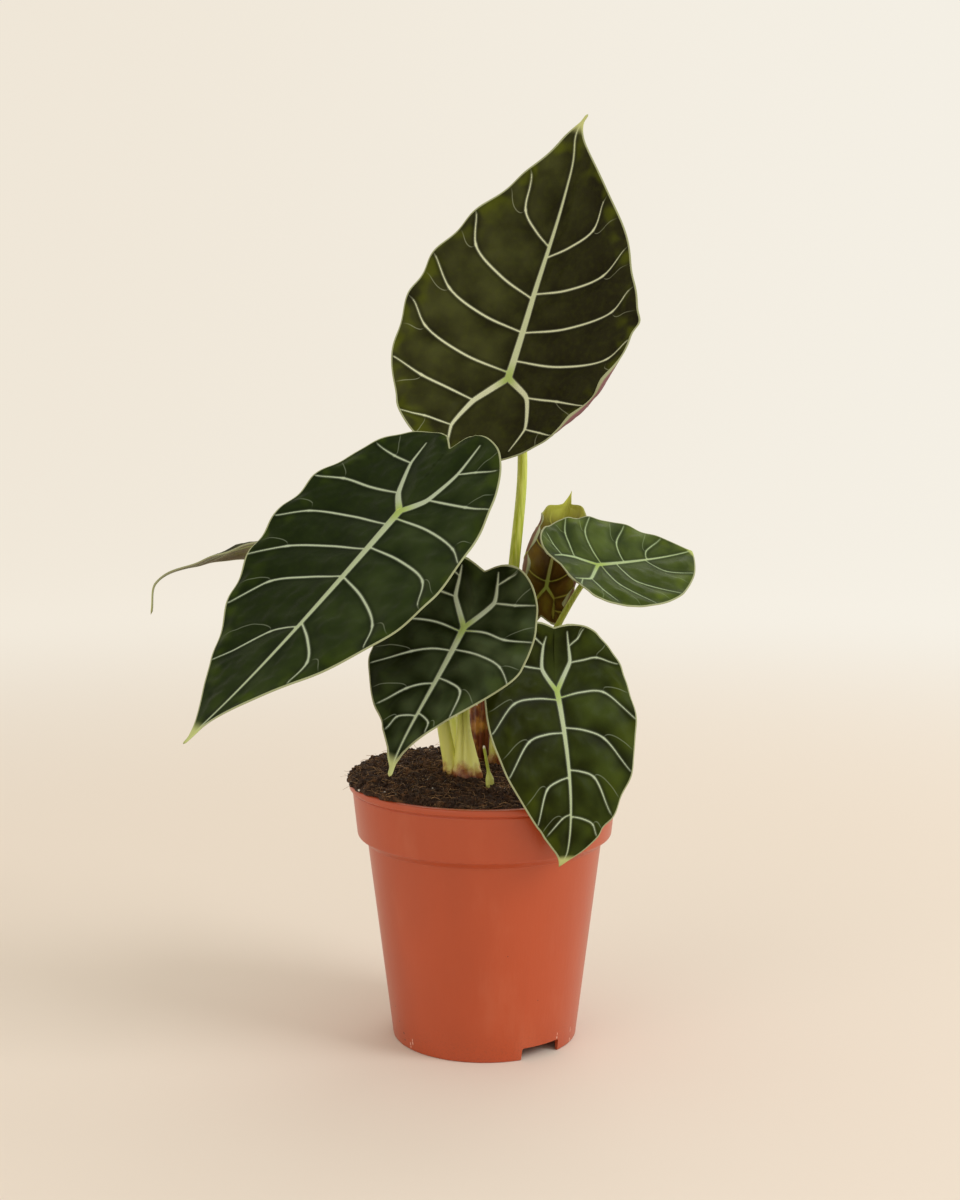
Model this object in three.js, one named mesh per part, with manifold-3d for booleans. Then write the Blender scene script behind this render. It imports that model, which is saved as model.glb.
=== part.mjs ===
// A potted alocasia in a plain plastic nursery pot: pot, soil, seven leaves on their petioles, a papery
// sheath and a young shoot. Millimetres, +Z up, the pot stands on Z = 0. Places are given from the pot's axis
// on the floor, with +Y away from the front, and the whole group is then set over the centre of its box.
import * as THREE from 'three';
import { mergeVertices } from 'three/addons/utils/BufferGeometryUtils.js';
import Module from 'manifold-3d';

const wasm = await Module();
wasm.setup();

// Pot
const potHeight = 115.4;
const footRadius = 41;
const footHeight = 6.5;
const floorThickness = 2;
const wallThickness = 1.6;
const bodyTopRadius = 52;
const bodyTopHeight = 88.7;
const collarBottomHeight = 92;
const collarBottomRadius = 56.4;
const collarTopRadius = 58.5;
const lipHeight = 3.6;
const lipRadius = 60;
const potSides = 40;
const notchCount = 2;
const notchWidth = 20;
const notchHeight = 5.5;
const firstNotchDeg = 36.7;
const drainHoleRadius = 4.5;
const drainHoleCircle = 26;
const drainHoleCount = 4;

// Soil
const seatGap = 0.3;
const soilRimHeight = 115;
const soilHeap = 3;
const soilBackRise = 4.6;
const soilBackDeg = 150;
const crumbHeight = 0.7;
const soilRings = [0.16, 0.32, 0.48, 0.64, 0.78, 0.9, 0.97];
const stemHoleFloor = 98;

// Leaf blades
const bladeThickness = 1;
const midribHalfWidth = 1.7;
const veinHalfWidth = 0.9;
const midribRise = 0.7;
const veinRise = 0.45;
const quiltRise = 0.7;
const veinKink = 0.055;
const rowStops = [0.45, 0.8, 1];
const bendSteps = 24;
const curveBulge = 0.55;

// Petioles
const petioleSides = 8;
const petioleRings = 13;
const petioleSwellHeight = 34;
const slimmestSwell = 3.6;

// Every leaf: where the petiole meets the blade, which way the upper face looks (compass angle and tilt above
// level), where the tip points on that face (clock), the sizes of the flat outline for its left and right
// half, the bends in degrees, and its petiole from the soil up
const leaves = [
  {
    name: 'top', colour: 0x2f3a22, ribbed: true, veins: [0.03, 0.17, 0.31, 0.5, 0.71],
    joint: [10.5, 8, 292], face: -94, tilt: 19, clock: 16,
    length: 119, halfWidth: [54.5, 62], widest: [12, 21], lobe: [45, 43.5],
    lobeInset: 0.14, sinus: 34,
    belly: [2.26, 2.37], taper: [1.53, 1.69],
    bend: 27, curl: 2, lobeBend: 27, fold: [2.5, 33.5], cup: [-5.5, 8],
    wave: 1.1,
    root: [5, 18], via: [[8.5, 19, 162], [13.5, 21, 211], [17, 24, 252], [15.5, 21, 277]],
    stemRadius: [3.3, 1.9],
  },
  {
    name: 'left', colour: 0x24382a, ribbed: true, veins: [0.03, 0.17, 0.31, 0.5, 0.71],
    joint: [-34.2, -64, 238.9], face: -121, tilt: 48.5, clock: 193,
    length: 129.5, halfWidth: [46.5, 54], widest: [32, 15], lobe: [46, 43.5],
    lobeInset: 0.21, sinus: 36.5,
    belly: [2.1, 2], taper: [2.2, 1.22],
    bend: 2.5, curl: 7.5, lobeBend: 6.5, fold: [-5, -12], cup: [10, 30],
    wave: 1.1,
    root: [-15.8, -6.5], via: [[-20.5, -6.5, 139], [-25.5, -10, 185], [-28, -22, 215], [-31, -44, 233]],
    stemRadius: [2.3, 1.8],
  },
  {
    name: 'centre', colour: 0x26392b, ribbed: true, veins: [0.02, 0.16, 0.37, 0.62],
    joint: [-8.5, -52, 190.3], face: -110.5, tilt: 32, clock: 195.3,
    length: 68.7, halfWidth: [33, 37.5], widest: [10, 9.6], lobe: [31, 28.6],
    lobeInset: 0.41, sinus: 25.4,
    belly: [1.49, 1.94], taper: [1.8, 1.63],
    bend: 16.5, curl: -36, lobeBend: 35, fold: [8, 3.6], cup: [-10.6, -10],
    wave: 0.8,
    root: [-8.2, -7], via: [[-10, -7.5, 140], [-9, -16, 163], [-7.6, -34, 181]],
    stemRadius: [4.9, 1.7],
  },
  {
    name: 'lower_right', colour: 0x2f4526, ribbed: true, veins: [0.04, 0.22, 0.47, 0.71],
    joint: [29.9, -46, 162.7], face: -58.8, tilt: 26, clock: 183,
    length: 73.3, halfWidth: [33.2, 35], widest: [7.8, 8.7], lobe: [28.7, 29.7],
    lobeInset: 0.3, sinus: 27.3,
    belly: [2.15, 1.95], taper: [0.95, 1.01],
    bend: -22.8, curl: -27.5, lobeBend: 36, fold: [10.3, 3], cup: [2, -10.6],
    wave: 0.7,
    root: [12.5, 1], via: [[14.5, -1, 136], [18, -10, 150], [24, -28, 161]],
    stemRadius: [2.5, 1.6],
  },
  {
    name: 'right', colour: 0x4a6247, ribbed: false, veins: [0.03, 0.23, 0.51],
    joint: [49.4, -2, 211], face: -50, tilt: 51.3, clock: 91,
    length: 56, halfWidth: [28, 31], widest: [5, 5], lobe: [26.6, 23.7],
    lobeInset: 0.37, sinus: 23.3,
    belly: [1.84, 2.37], taper: [0.95, 0.81],
    bend: 6.3, curl: 8.7, lobeBend: 12.5, fold: [6.5, 12.2], cup: [0, -7.7],
    wave: 0.5,
    root: [11.5, 9.5], via: [[15, 9, 140], [23, 8, 163], [35, 6.5, 188], [43, 3, 202]],
    stemRadius: [2.1, 1.2],
  },
  {
    name: 'young', colour: 0x4b3a1f, ribbed: false, veins: [0.05, 0.3, 0.55],
    joint: [28.5, 36, 197], face: -105, tilt: 28, clock: 4,
    length: 54, halfWidth: [18, 25], widest: [9, 5.5], lobe: [20, 16],
    lobeInset: 0.4, sinus: 11,
    belly: [2.1, 2], taper: [1.45, 1.2],
    bend: -27, curl: -1, lobeBend: -5, fold: [30, 30], cup: [30, 22],
    wave: 0.4,
    root: [-4, 24.5], via: [[-1, 27, 145], [8, 34, 167], [22, 42, 183]],
    stemRadius: [2.3, 1.3],
  },
  {
    name: 'far_left', colour: 0x32331f, ribbed: false, veins: [0.05, 0.25, 0.5],
    joint: [-70, 34, 221], face: -98, tilt: 92, clock: 248,
    length: 91, halfWidth: [34, 37], widest: [0, -4], lobe: [32, 32],
    lobeInset: 0.45, sinus: 20,
    belly: [1.8, 2.15], taper: [1.4, 1.4],
    bend: -30, curl: -35, lobeBend: -5, fold: [7, -10], cup: [-7, -32],
    wave: 0.8,
    root: [-10.8, 3.2], via: [[-15.5, 7, 146], [-31, 16, 177], [-52, 27, 203], [-64, 32, 213.5]],
    stemRadius: [2.1, 1.6],
  },
];

// Papery sheath round the young leaf's petiole, and the shoot at the front
const sheathInnerRadius = 4.4;
const sheathThickness = 0.8;
const sheathArcDeg = 200;
const sheathMiddleDeg = -135;
const sheathTop = 143;
const sheathTear = 6;
const sheathFlare = 0.8;
const shootRoot = [2.3, -23];
const shootTip = [-0.6, -24, 138.5];
const shootRadius = [2, 0.5];

const rad = THREE.MathUtils.degToRad;

// A closed solid from corner points and triangles, faces out
function geometryFrom(points, triangles) {
  const geometry = new THREE.BufferGeometry();
  const numbers = points.flatMap((point) => [point.x, point.y, point.z]);
  geometry.setAttribute('position', new THREE.Float32BufferAttribute(numbers, 3));
  geometry.setIndex(triangles.flat());
  geometry.computeVertexNormals();
  return geometry;
}

function toManifold(source) {
  const geometry = source.clone();
  geometry.deleteAttribute('normal');
  geometry.deleteAttribute('uv');
  const merged = mergeVertices(geometry);
  return new wasm.Manifold(new wasm.Mesh({
    numProp: 3,
    vertProperties: new Float32Array(merged.attributes.position.array),
    triVerts: new Uint32Array(merged.index.array),
  }));
}

function fromManifold(solid) {
  const mesh = solid.getMesh();
  const geometry = new THREE.BufferGeometry();
  geometry.setAttribute('position', new THREE.BufferAttribute(new Float32Array(mesh.vertProperties), 3));
  geometry.setIndex(new THREE.BufferAttribute(new Uint32Array(mesh.triVerts), 1));
  geometry.computeVertexNormals();
  return geometry;
}

function cutAway(geometry, tools) {
  let solid = toManifold(geometry);
  for (const tool of tools) {
    solid = solid.subtract(toManifold(tool));
  }
  return fromManifold(solid);
}

const plant = new THREE.Group();

function addPiece(name, geometry, colour, roughness) {
  const material = new THREE.MeshStandardMaterial({ color: colour, roughness, metalness: 0 });
  const mesh = new THREE.Mesh(geometry, material);
  mesh.name = name;
  plant.add(mesh);
}

// Pot: a turned shell on a foot ring, with drainage notches in the ring and holes in the raised floor
const floorTop = footHeight + floorThickness;
const bodySlope = (bodyTopRadius - footRadius) / bodyTopHeight;
const outerRadiusAt = (z) => footRadius + bodySlope * z;
const lipBottom = potHeight - lipHeight;
const potProfile = [
  [0, footHeight],
  [footRadius - wallThickness, footHeight],
  [footRadius - wallThickness, 0],
  [footRadius, 0],
  [bodyTopRadius, bodyTopHeight],
  [collarBottomRadius - 0.4, collarBottomHeight - 0.4],
  [collarBottomRadius, collarBottomHeight + 0.4],
  [collarTopRadius, lipBottom - 0.4],
  [collarTopRadius - 0.2, lipBottom + 0.2],
  [lipRadius - 0.4, lipBottom + 0.7],
  [lipRadius, lipBottom + 1.5],
  [lipRadius - 0.2, potHeight - 0.7],
  [lipRadius - 1, potHeight],
  [collarTopRadius - wallThickness + 0.3, potHeight],
  [collarTopRadius - wallThickness - 0.2, potHeight - 0.8],
  [collarBottomRadius - wallThickness, collarBottomHeight + 1.2],
  [bodyTopRadius - wallThickness, bodyTopHeight],
  [outerRadiusAt(floorTop) - wallThickness, floorTop],
  [0, floorTop],
];

function turned(profile, sides) {
  const outline = profile.map(([r, z]) => new THREE.Vector2(r, z));
  return new THREE.LatheGeometry(outline, sides).rotateX(Math.PI / 2);
}

function potGeometry() {
  const tools = [];
  for (let i = 0; i < notchCount; i += 1) {
    const notch = new THREE.BoxGeometry(notchWidth, 12, notchHeight * 2);
    notch.translate(0, -footRadius, 0);
    notch.rotateZ(rad(firstNotchDeg + 360 * i / notchCount));
    tools.push(notch);
  }
  for (let i = 0; i < drainHoleCount; i += 1) {
    const hole = new THREE.CylinderGeometry(drainHoleRadius, drainHoleRadius, 6, 12).rotateX(Math.PI / 2);
    hole.translate(0, -drainHoleCircle, footHeight + floorThickness / 2);
    hole.rotateZ(rad(firstNotchDeg + 360 * (i + 0.5) / drainHoleCount));
    tools.push(hole);
  }
  return cutAway(turned(potProfile, potSides), tools);
}

// Soil: fills the pot to its wall and is heaped over the rim's level, higher at the back and left, with crumbs
const soilWall = [
  [outerRadiusAt(floorTop + seatGap) - wallThickness - seatGap, floorTop + seatGap],
  [bodyTopRadius - wallThickness - seatGap, bodyTopHeight + 0.2],
  [collarBottomRadius - wallThickness - seatGap, collarBottomHeight + 1.5],
  [collarTopRadius - wallThickness - 0.7 - seatGap, soilRimHeight - 0.6],
];

function soilHeight(x, y, edgeRadius) {
  const reach = Math.hypot(x, y) / edgeRadius;
  const towardsBack = Math.cos(Math.atan2(y, x) - rad(soilBackDeg));
  const heap = soilHeap * (1 - reach ** 9);
  const back = soilBackRise * towardsBack * reach * (1 - 0.4 * reach ** 9);
  const crumbs = Math.sin(0.71 * x + 1.3 * Math.sin(0.43 * y)) * Math.sin(0.63 * y + 1.1 * Math.sin(0.37 * x));
  return soilRimHeight + heap + back + crumbHeight * crumbs * (1 - reach ** 4);
}

function soilGeometry(tools) {
  const edgeRadius = soilWall[soilWall.length - 1][0];
  const points = [];
  const rings = [];
  const addRing = (radius, height) => {
    const ring = [];
    for (let i = 0; i < potSides; i += 1) {
      const angle = 2 * Math.PI * i / potSides;
      const x = radius * Math.cos(angle);
      const y = radius * Math.sin(angle);
      ring.push(points.length);
      points.push(new THREE.Vector3(x, y, height ?? soilHeight(x, y, edgeRadius)));
    }
    rings.push(ring);
  };
  points.push(new THREE.Vector3(0, 0, soilWall[0][1]));
  soilWall.forEach(([r, z]) => addRing(r, z));
  [...soilRings].reverse().forEach((share) => addRing(share * edgeRadius));
  const crown = points.length;
  points.push(new THREE.Vector3(0, 0, soilHeight(0, 0, edgeRadius)));
  const triangles = [];
  for (let i = 0; i < potSides; i += 1) {
    const j = (i + 1) % potSides;
    triangles.push([0, rings[0][j], rings[0][i]]);
    for (let k = 0; k + 1 < rings.length; k += 1) {
      triangles.push([rings[k][i], rings[k][j], rings[k + 1][j]]);
      triangles.push([rings[k][i], rings[k + 1][j], rings[k + 1][i]]);
    }
    triangles.push([rings[rings.length - 1][i], rings[rings.length - 1][j], crown]);
  }
  return cutAway(geometryFrom(points, triangles), tools);
}

// A strip that bends as it goes: how far it has come along and up at a share of its unit length
function bentStrip(angleAt, share, unit) {
  let along = 0;
  let up = 0;
  for (let i = 0; i < bendSteps; i += 1) {
    const angle = rad(angleAt((i + 0.5) / bendSteps * share));
    along += Math.cos(angle) * share * unit / bendSteps;
    up += Math.sin(angle) * share * unit / bendSteps;
  }
  return { along, up, angle: rad(angleAt(share)) };
}

// The blade's middle surface in its own axes: a flat leaf point (x across, y towards the tip) bent into shape
function bladePoint(leaf, x, y) {
  const side = x < 0 ? 0 : 1;
  const lobe = Math.max(...leaf.lobe);
  const spine = y >= 0
    ? bentStrip((t) => leaf.bend * t + leaf.curl * t ** 4, y / leaf.length, leaf.length)
    : bentStrip((t) => leaf.lobeBend * t, -y / lobe, lobe);
  const width = leaf.halfWidth[side];
  const across = bentStrip((t) => leaf.fold[side] + leaf.cup[side] * t, Math.abs(x) / width, width);
  const way = y >= 0 ? 1 : -1;
  return new THREE.Vector3(
    Math.sign(x) * across.along,
    way * (spine.along - Math.sin(spine.angle) * across.up),
    spine.up + Math.cos(spine.angle) * across.up,
  );
}

function bladeNormal(leaf, x, y) {
  const step = 0.4;
  const acrossWay = bladePoint(leaf, x + step, y).sub(bladePoint(leaf, x - step, y));
  const alongWay = bladePoint(leaf, x, y + step).sub(bladePoint(leaf, x, y - step));
  return acrossWay.cross(alongWay).normalize();
}

// The blade's own axes: x to its right, y to the tip, z out of the upper face, moved to the petiole's joint
function leafMatrix(leaf) {
  const compass = rad(leaf.face);
  const tilt = rad(leaf.tilt);
  const clock = rad(leaf.clock);
  const out = new THREE.Vector3(
    Math.cos(tilt) * Math.cos(compass), Math.cos(tilt) * Math.sin(compass), Math.sin(tilt),
  );
  const up = new THREE.Vector3(
    -Math.sin(tilt) * Math.cos(compass), -Math.sin(tilt) * Math.sin(compass), Math.cos(tilt),
  );
  const aside = new THREE.Vector3().crossVectors(up, out);
  const tip = up.multiplyScalar(Math.cos(clock)).addScaledVector(aside, Math.sin(clock));
  const right = new THREE.Vector3().crossVectors(tip, out);
  return new THREE.Matrix4().makeBasis(right, tip, out).setPosition(...leaf.joint);
}

function bezier(a, b, c, d, t) {
  const s = 1 - t;
  return a.map((_, i) => s ** 3 * a[i] + 3 * s * s * t * b[i] + 3 * s * t * t * c[i] + t ** 3 * d[i]);
}

// The flat margin of one half: 0 at the tip, 1 at the widest place, 2 at the lobe's end, 3 in the sinus
function marginPoint(leaf, side, m) {
  const width = leaf.halfWidth[side];
  const widest = leaf.widest[side];
  const lobe = leaf.lobe[side];
  const inset = leaf.lobeInset * width;
  if (m <= 1) {
    const share = Math.max(0, 1 - (1 - m) ** leaf.belly[side]);
    return [width * share ** leaf.taper[side], leaf.length - m * (leaf.length - widest)];
  }
  if (m <= 2) {
    const shoulder = [width, widest - curveBulge * (widest + lobe)];
    const heel = [inset + curveBulge * (width - inset), -lobe];
    return bezier([width, widest], shoulder, heel, [inset, -lobe], m - 1);
  }
  const toe = [inset * (1 - curveBulge), -lobe];
  const throat = [inset * 0.25, -leaf.sinus - 0.35 * (lobe - leaf.sinus)];
  return bezier([inset, -lobe], toe, throat, [0, -leaf.sinus], m - 2);
}

// The path that the veins leave from: 0 at the tip, 1 at the joint, 2 at the end of the basal rib, 3 back at
// the joint and 4 in the sinus
function spinePoint(leaf, side, s) {
  if (s <= 1) {
    return [0, leaf.length * (1 - s)];
  }
  if (s >= 3) {
    return [0, -leaf.sinus * (s - 3)];
  }
  const t = s <= 2 ? s - 1 : 3 - s;
  const width = leaf.halfWidth[side];
  const lobe = leaf.lobe[side];
  const ribMiddle = [0.33 * width, -0.3 * lobe];
  const ribEnd = [0.26 * width, -0.8 * lobe];
  return [0, 1].map((i) => 2 * t * (1 - t) * ribMiddle[i] + t * t * ribEnd[i]);
}

// Columns from the spine path to the margin: a vein's crest with its two flanks, and a panel between veins
function bladeColumns(leaf, side) {
  const tipward = leaf.widest[side] / leaf.length;
  const marginOf = (o) => (1 - o - 0.16 - 0.2 * o * (1 - o)) / (1 - tipward);
  const crests = [...leaf.veins].reverse().map((o) => ({ s: 1 - o, m: marginOf(o) }));
  const first = crests[0];
  const last = crests[crests.length - 1];
  const basal = [{ s: 1.42, m: 1.2, lone: true }, { s: 1.77, m: 1.52, lone: true }];
  const flankS = veinHalfWidth / leaf.length;
  const columns = [
    { s: 0, m: 0, kind: 'tip' },
    { s: 0.3 * first.s, m: 0.3 * first.m, kind: 'panel' },
    { s: 0.65 * first.s, m: 0.65 * first.m, kind: 'panel' },
  ];
  const veins = [...crests, { s: 1, m: (last.m + 1.2) / 2, lone: true }, ...basal];
  veins.forEach((vein, i) => {
    const flanked = leaf.ribbed && !vein.lone;
    if (flanked) {
      columns.push({ s: vein.s - flankS, m: vein.m - 0.6 * flankS, kind: 'flank' });
    }
    columns.push({ s: vein.s, m: vein.m, kind: vein.s === 1 ? 'panel' : 'vein' });
    if (flanked) {
      columns.push({ s: vein.s + flankS, m: vein.m + 0.6 * flankS, kind: 'flank' });
    }
    const next = veins[i + 1];
    if (next && next.s !== 1 && vein.s !== 1) {
      columns.push({ s: (vein.s + next.s) / 2, m: (vein.m + next.m) / 2, kind: 'panel' });
    }
  });
  columns.push({ s: 2, m: 1.84, kind: 'vein' });
  columns.push({ s: 2, m: 2.2, kind: 'panel' });
  const ribStops = columns.filter((column) => column.s > 1 && column.s < 2).map((column) => column.s).reverse();
  ribStops.forEach((s, i) => {
    columns.push({ s: 4 - s, m: 2.2 + 0.5 * (i + 1) / (ribStops.length + 1), kind: 'plain' });
  });
  columns.push({ s: 3, m: 2.7, kind: 'plain' });
  columns.push({ s: 3.55, m: 2.88, kind: 'plain' });
  columns.push({ s: 4, m: 3, kind: 'plain' });
  return columns;
}

// One half's rows along a column, as flat points with the ridge's height and the lift of the middle surface
function columnStations(leaf, side, column) {
  const { s, m, kind } = column;
  const root = spinePoint(leaf, side, s);
  const edge = marginPoint(leaf, side, m);
  const span = Math.hypot(edge[0] - root[0], edge[1] - root[1]);
  const ribShare = s < 1 ? 0.35 + 0.65 * s : 0.6;
  const ribStop = span > 0 ? Math.min(0.25, midribHalfWidth * ribShare / span) : 0;
  const kink = s < 1 ? veinKink * leaf.length * Math.min(1, s / 0.3) : 0;
  const rowsFrom = [0, ribStop, ...rowStops];
  return rowsFrom.map((f, row) => {
    const dip = kink * Math.min(f / 0.8, (1 - f) / 0.2);
    const onSpine = row === 0 && s < 3.2;
    const ridge = onSpine ? midribRise * ribShare : (kind === 'vein' ? veinRise * (1 - 0.6 * f) : 0);
    const panelLift = kind === 'panel' && row > 0 && f < 1 ? quiltRise * Math.sin(Math.PI * f) : 0;
    const marginLift = { panel: -1, vein: 1, flank: 1 }[kind] ?? 0;
    return {
      x: root[0] + (edge[0] - root[0]) * f,
      y: root[1] + (edge[1] - root[1]) * f - dip,
      ridge,
      lift: f === 1 ? leaf.wave * marginLift * Math.min(1, m / 0.25) : panelLift,
    };
  });
}

// A blade: both faces follow the middle surface and share one pattern of triangles, closed along the margin
function bladeGeometry(leaf) {
  const points = [];
  const known = new Map();
  const placed = (station, sign) => {
    const x = station.x * sign;
    const key = `${x.toFixed(3)} ${station.y.toFixed(3)}`.replace('-0.000 ', '0.000 ');
    if (!known.has(key)) {
      const middle = bladePoint(leaf, x, station.y);
      const normal = bladeNormal(leaf, x, station.y);
      const up = bladeThickness / 2 + station.ridge + station.lift;
      const down = -bladeThickness / 2 - 0.7 * station.ridge + station.lift;
      known.set(key, points.length);
      points.push(middle.clone().addScaledVector(normal, up));
      points.push(middle.clone().addScaledVector(normal, down));
    }
    return known.get(key);
  };
  const triangles = [];
  const addTriangle = (a, b, c, mirrored) => {
    if (a !== b && b !== c && a !== c) {
      triangles.push(mirrored ? [a, c, b] : [a, b, c]);
    }
  };
  [-1, 1].forEach((sign, side) => {
    const mirrored = sign < 0;
    const grid = bladeColumns(leaf, side).map((column) => (
      columnStations(leaf, side, column).map((station) => placed(station, sign))));
    for (let j = 0; j + 1 < grid.length; j += 1) {
      const near = grid[j];
      const far = grid[j + 1];
      const rim = near.length - 1;
      for (let k = 0; k < rim; k += 1) {
        addTriangle(near[k], far[k], far[k + 1], mirrored);
        addTriangle(near[k], far[k + 1], near[k + 1], mirrored);
        addTriangle(near[k] + 1, far[k + 1] + 1, far[k] + 1, mirrored);
        addTriangle(near[k] + 1, near[k + 1] + 1, far[k + 1] + 1, mirrored);
      }
      if (near[rim] !== far[rim]) {
        addTriangle(near[rim], far[rim], far[rim] + 1, mirrored);
        addTriangle(near[rim], far[rim] + 1, near[rim] + 1, mirrored);
      }
    }
  });
  return geometryFrom(points, triangles).applyMatrix4(leafMatrix(leaf));
}

// A round stem along a curve that starts with a straight stretch, closed at both ends
function stemGeometry(curve, straight, rings, radiusAt, endWay) {
  const points = [];
  const triangles = [];
  const straightShare = straight / curve.getLength();
  let aside = new THREE.Vector3(1, 0, 0);
  for (let k = 0; k <= rings; k += 1) {
    const share = k === 0 ? 0 : THREE.MathUtils.lerp(straightShare, 1, (k - 1) / (rings - 1));
    const centre = curve.getPointAt(share);
    let way = curve.getTangentAt(share);
    if (k === 0) {
      way = new THREE.Vector3(0, 0, 1);
    }
    if (k === rings && endWay) {
      way = endWay;
    }
    aside = aside.addScaledVector(way, -aside.dot(way)).normalize();
    const across = new THREE.Vector3().crossVectors(way, aside);
    for (let i = 0; i < petioleSides; i += 1) {
      const angle = 2 * Math.PI * i / petioleSides;
      const radius = radiusAt(share, centre.z);
      points.push(centre.clone()
        .addScaledVector(aside, radius * Math.cos(angle))
        .addScaledVector(across, radius * Math.sin(angle)));
    }
  }
  const foot = points.length;
  points.push(curve.getPointAt(0));
  const head = points.length;
  points.push(curve.getPointAt(1));
  for (let i = 0; i < petioleSides; i += 1) {
    const j = (i + 1) % petioleSides;
    for (let k = 0; k < rings; k += 1) {
      const low = k * petioleSides;
      const high = low + petioleSides;
      triangles.push([low + i, low + j, high + j]);
      triangles.push([low + i, high + j, high + i]);
    }
    triangles.push([foot, j, i]);
    triangles.push([head, rings * petioleSides + i, rings * petioleSides + j]);
  }
  return geometryFrom(points, triangles);
}

// A plain hole in the soil for a stem, with the stem's own number of sides
function stemHole([x, y], radius) {
  const depth = 40;
  const hole = new THREE.CylinderGeometry(radius, radius, depth, petioleSides).rotateX(Math.PI / 2);
  return hole.rotateZ(Math.PI / 2).translate(x, y, stemHoleFloor + depth / 2);
}

const soilTop = soilRimHeight + soilHeap + 2;
const soilTools = [];

for (const leaf of leaves) {
  const [rootX, rootY] = leaf.root;
  const [thick, thin] = leaf.stemRadius;
  const matrix = leafMatrix(leaf);
  const seat = bladeThickness / 2 + 0.7 * midribRise + seatGap;
  const normal = bladeNormal(leaf, 0, 0).transformDirection(matrix);
  const joint = new THREE.Vector3(...leaf.joint);
  const stemFloor = stemHoleFloor + seatGap;
  const path = new THREE.CatmullRomCurve3([
    new THREE.Vector3(rootX, rootY, stemFloor),
    new THREE.Vector3(rootX, rootY, soilTop - 3),
    new THREE.Vector3(rootX, rootY, soilTop),
    ...leaf.via.map((point) => new THREE.Vector3(...point)),
    joint.clone().addScaledVector(normal, -seat),
  ], false, 'centripetal');
  const swell = (share, z) => {
    const base = THREE.MathUtils.smoothstep(z, soilTop, soilTop + petioleSwellHeight);
    const slim = THREE.MathUtils.lerp(Math.min(thick, slimmestSwell), thin, share);
    return THREE.MathUtils.lerp(thick, slim, base);
  };
  soilTools.push(stemHole(leaf.root, thick + seatGap));
  addPiece(`blade_${leaf.name}`, bladeGeometry(leaf), leaf.colour, 0.45);
  const petiole = stemGeometry(path, soilTop - stemFloor, petioleRings, swell, normal);
  addPiece(`petiole_${leaf.name}`, petiole, 0x9fae62, 0.5);
}

// Papery sheath: an upright half tube with a torn top, standing in a hole wide enough for the petiole inside it
const sheathRoot = leaves.find((leaf) => leaf.name === 'young').root;
const sheathOuterRadius = sheathInnerRadius + sheathThickness;

function sheathGeometry() {
  const columns = 10;
  const heights = [0, 0.45, 0.75, 1];
  const points = [];
  const triangles = [];
  const floor = stemHoleFloor + seatGap;
  for (let i = 0; i <= columns; i += 1) {
    const angle = rad(sheathMiddleDeg + sheathArcDeg * (i / columns - 0.5));
    const top = sheathTop - sheathTear * (0.5 + 0.5 * Math.cos(2.3 * i));
    for (const share of heights) {
      for (const radius of [sheathInnerRadius, sheathOuterRadius]) {
        const r = radius + sheathFlare * share * share;
        points.push(new THREE.Vector3(
          sheathRoot[0] + r * Math.cos(angle),
          sheathRoot[1] + r * Math.sin(angle),
          THREE.MathUtils.lerp(floor, top, share),
        ));
      }
    }
  }
  const at = (i, k, outer) => 2 * (i * heights.length + k) + outer;
  const last = heights.length - 1;
  const quad = (a, b, c, d) => {
    triangles.push([a, b, c]);
    triangles.push([a, c, d]);
  };
  for (let i = 0; i < columns; i += 1) {
    for (let k = 0; k < last; k += 1) {
      quad(at(i, k, 1), at(i + 1, k, 1), at(i + 1, k + 1, 1), at(i, k + 1, 1));
      quad(at(i, k, 0), at(i, k + 1, 0), at(i + 1, k + 1, 0), at(i + 1, k, 0));
    }
    quad(at(i, 0, 0), at(i + 1, 0, 0), at(i + 1, 0, 1), at(i, 0, 1));
    quad(at(i, last, 0), at(i, last, 1), at(i + 1, last, 1), at(i + 1, last, 0));
  }
  for (let k = 0; k < last; k += 1) {
    quad(at(0, k, 0), at(0, k, 1), at(0, k + 1, 1), at(0, k + 1, 0));
    quad(at(columns, k, 1), at(columns, k, 0), at(columns, k + 1, 0), at(columns, k + 1, 1));
  }
  return geometryFrom(points, triangles);
}

soilTools.push(stemHole(sheathRoot, sheathOuterRadius + 3 * seatGap));
addPiece('papery_sheath', sheathGeometry(), 0x7a4a2c, 0.8);

// Shoot: a small pale spike that has just come up
const shootFloor = stemHoleFloor + seatGap;
const shootPath = new THREE.CatmullRomCurve3([
  new THREE.Vector3(...shootRoot, shootFloor),
  new THREE.Vector3(...shootRoot, soilTop - 3),
  new THREE.Vector3(...shootRoot, soilTop),
  new THREE.Vector3(...shootTip),
], false, 'centripetal');
const shootWidth = (share) => THREE.MathUtils.lerp(...shootRadius, Math.max(0, 1.6 * share - 0.6));
soilTools.push(stemHole(shootRoot, shootRadius[0] + seatGap));
addPiece('shoot', stemGeometry(shootPath, soilTop - shootFloor, 5, shootWidth), 0xb9c77a, 0.5);

addPiece('soil', soilGeometry(soilTools), 0x3a2a20, 0.95);
addPiece('pot', potGeometry(), 0xc0693f, 0.45);

// The group stands over the centre of its own box
const box = new THREE.Box3().setFromObject(plant, true);
plant.position.set(-(box.min.x + box.max.x) / 2, -(box.min.y + box.max.y) / 2, 0);

export default plant;
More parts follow.
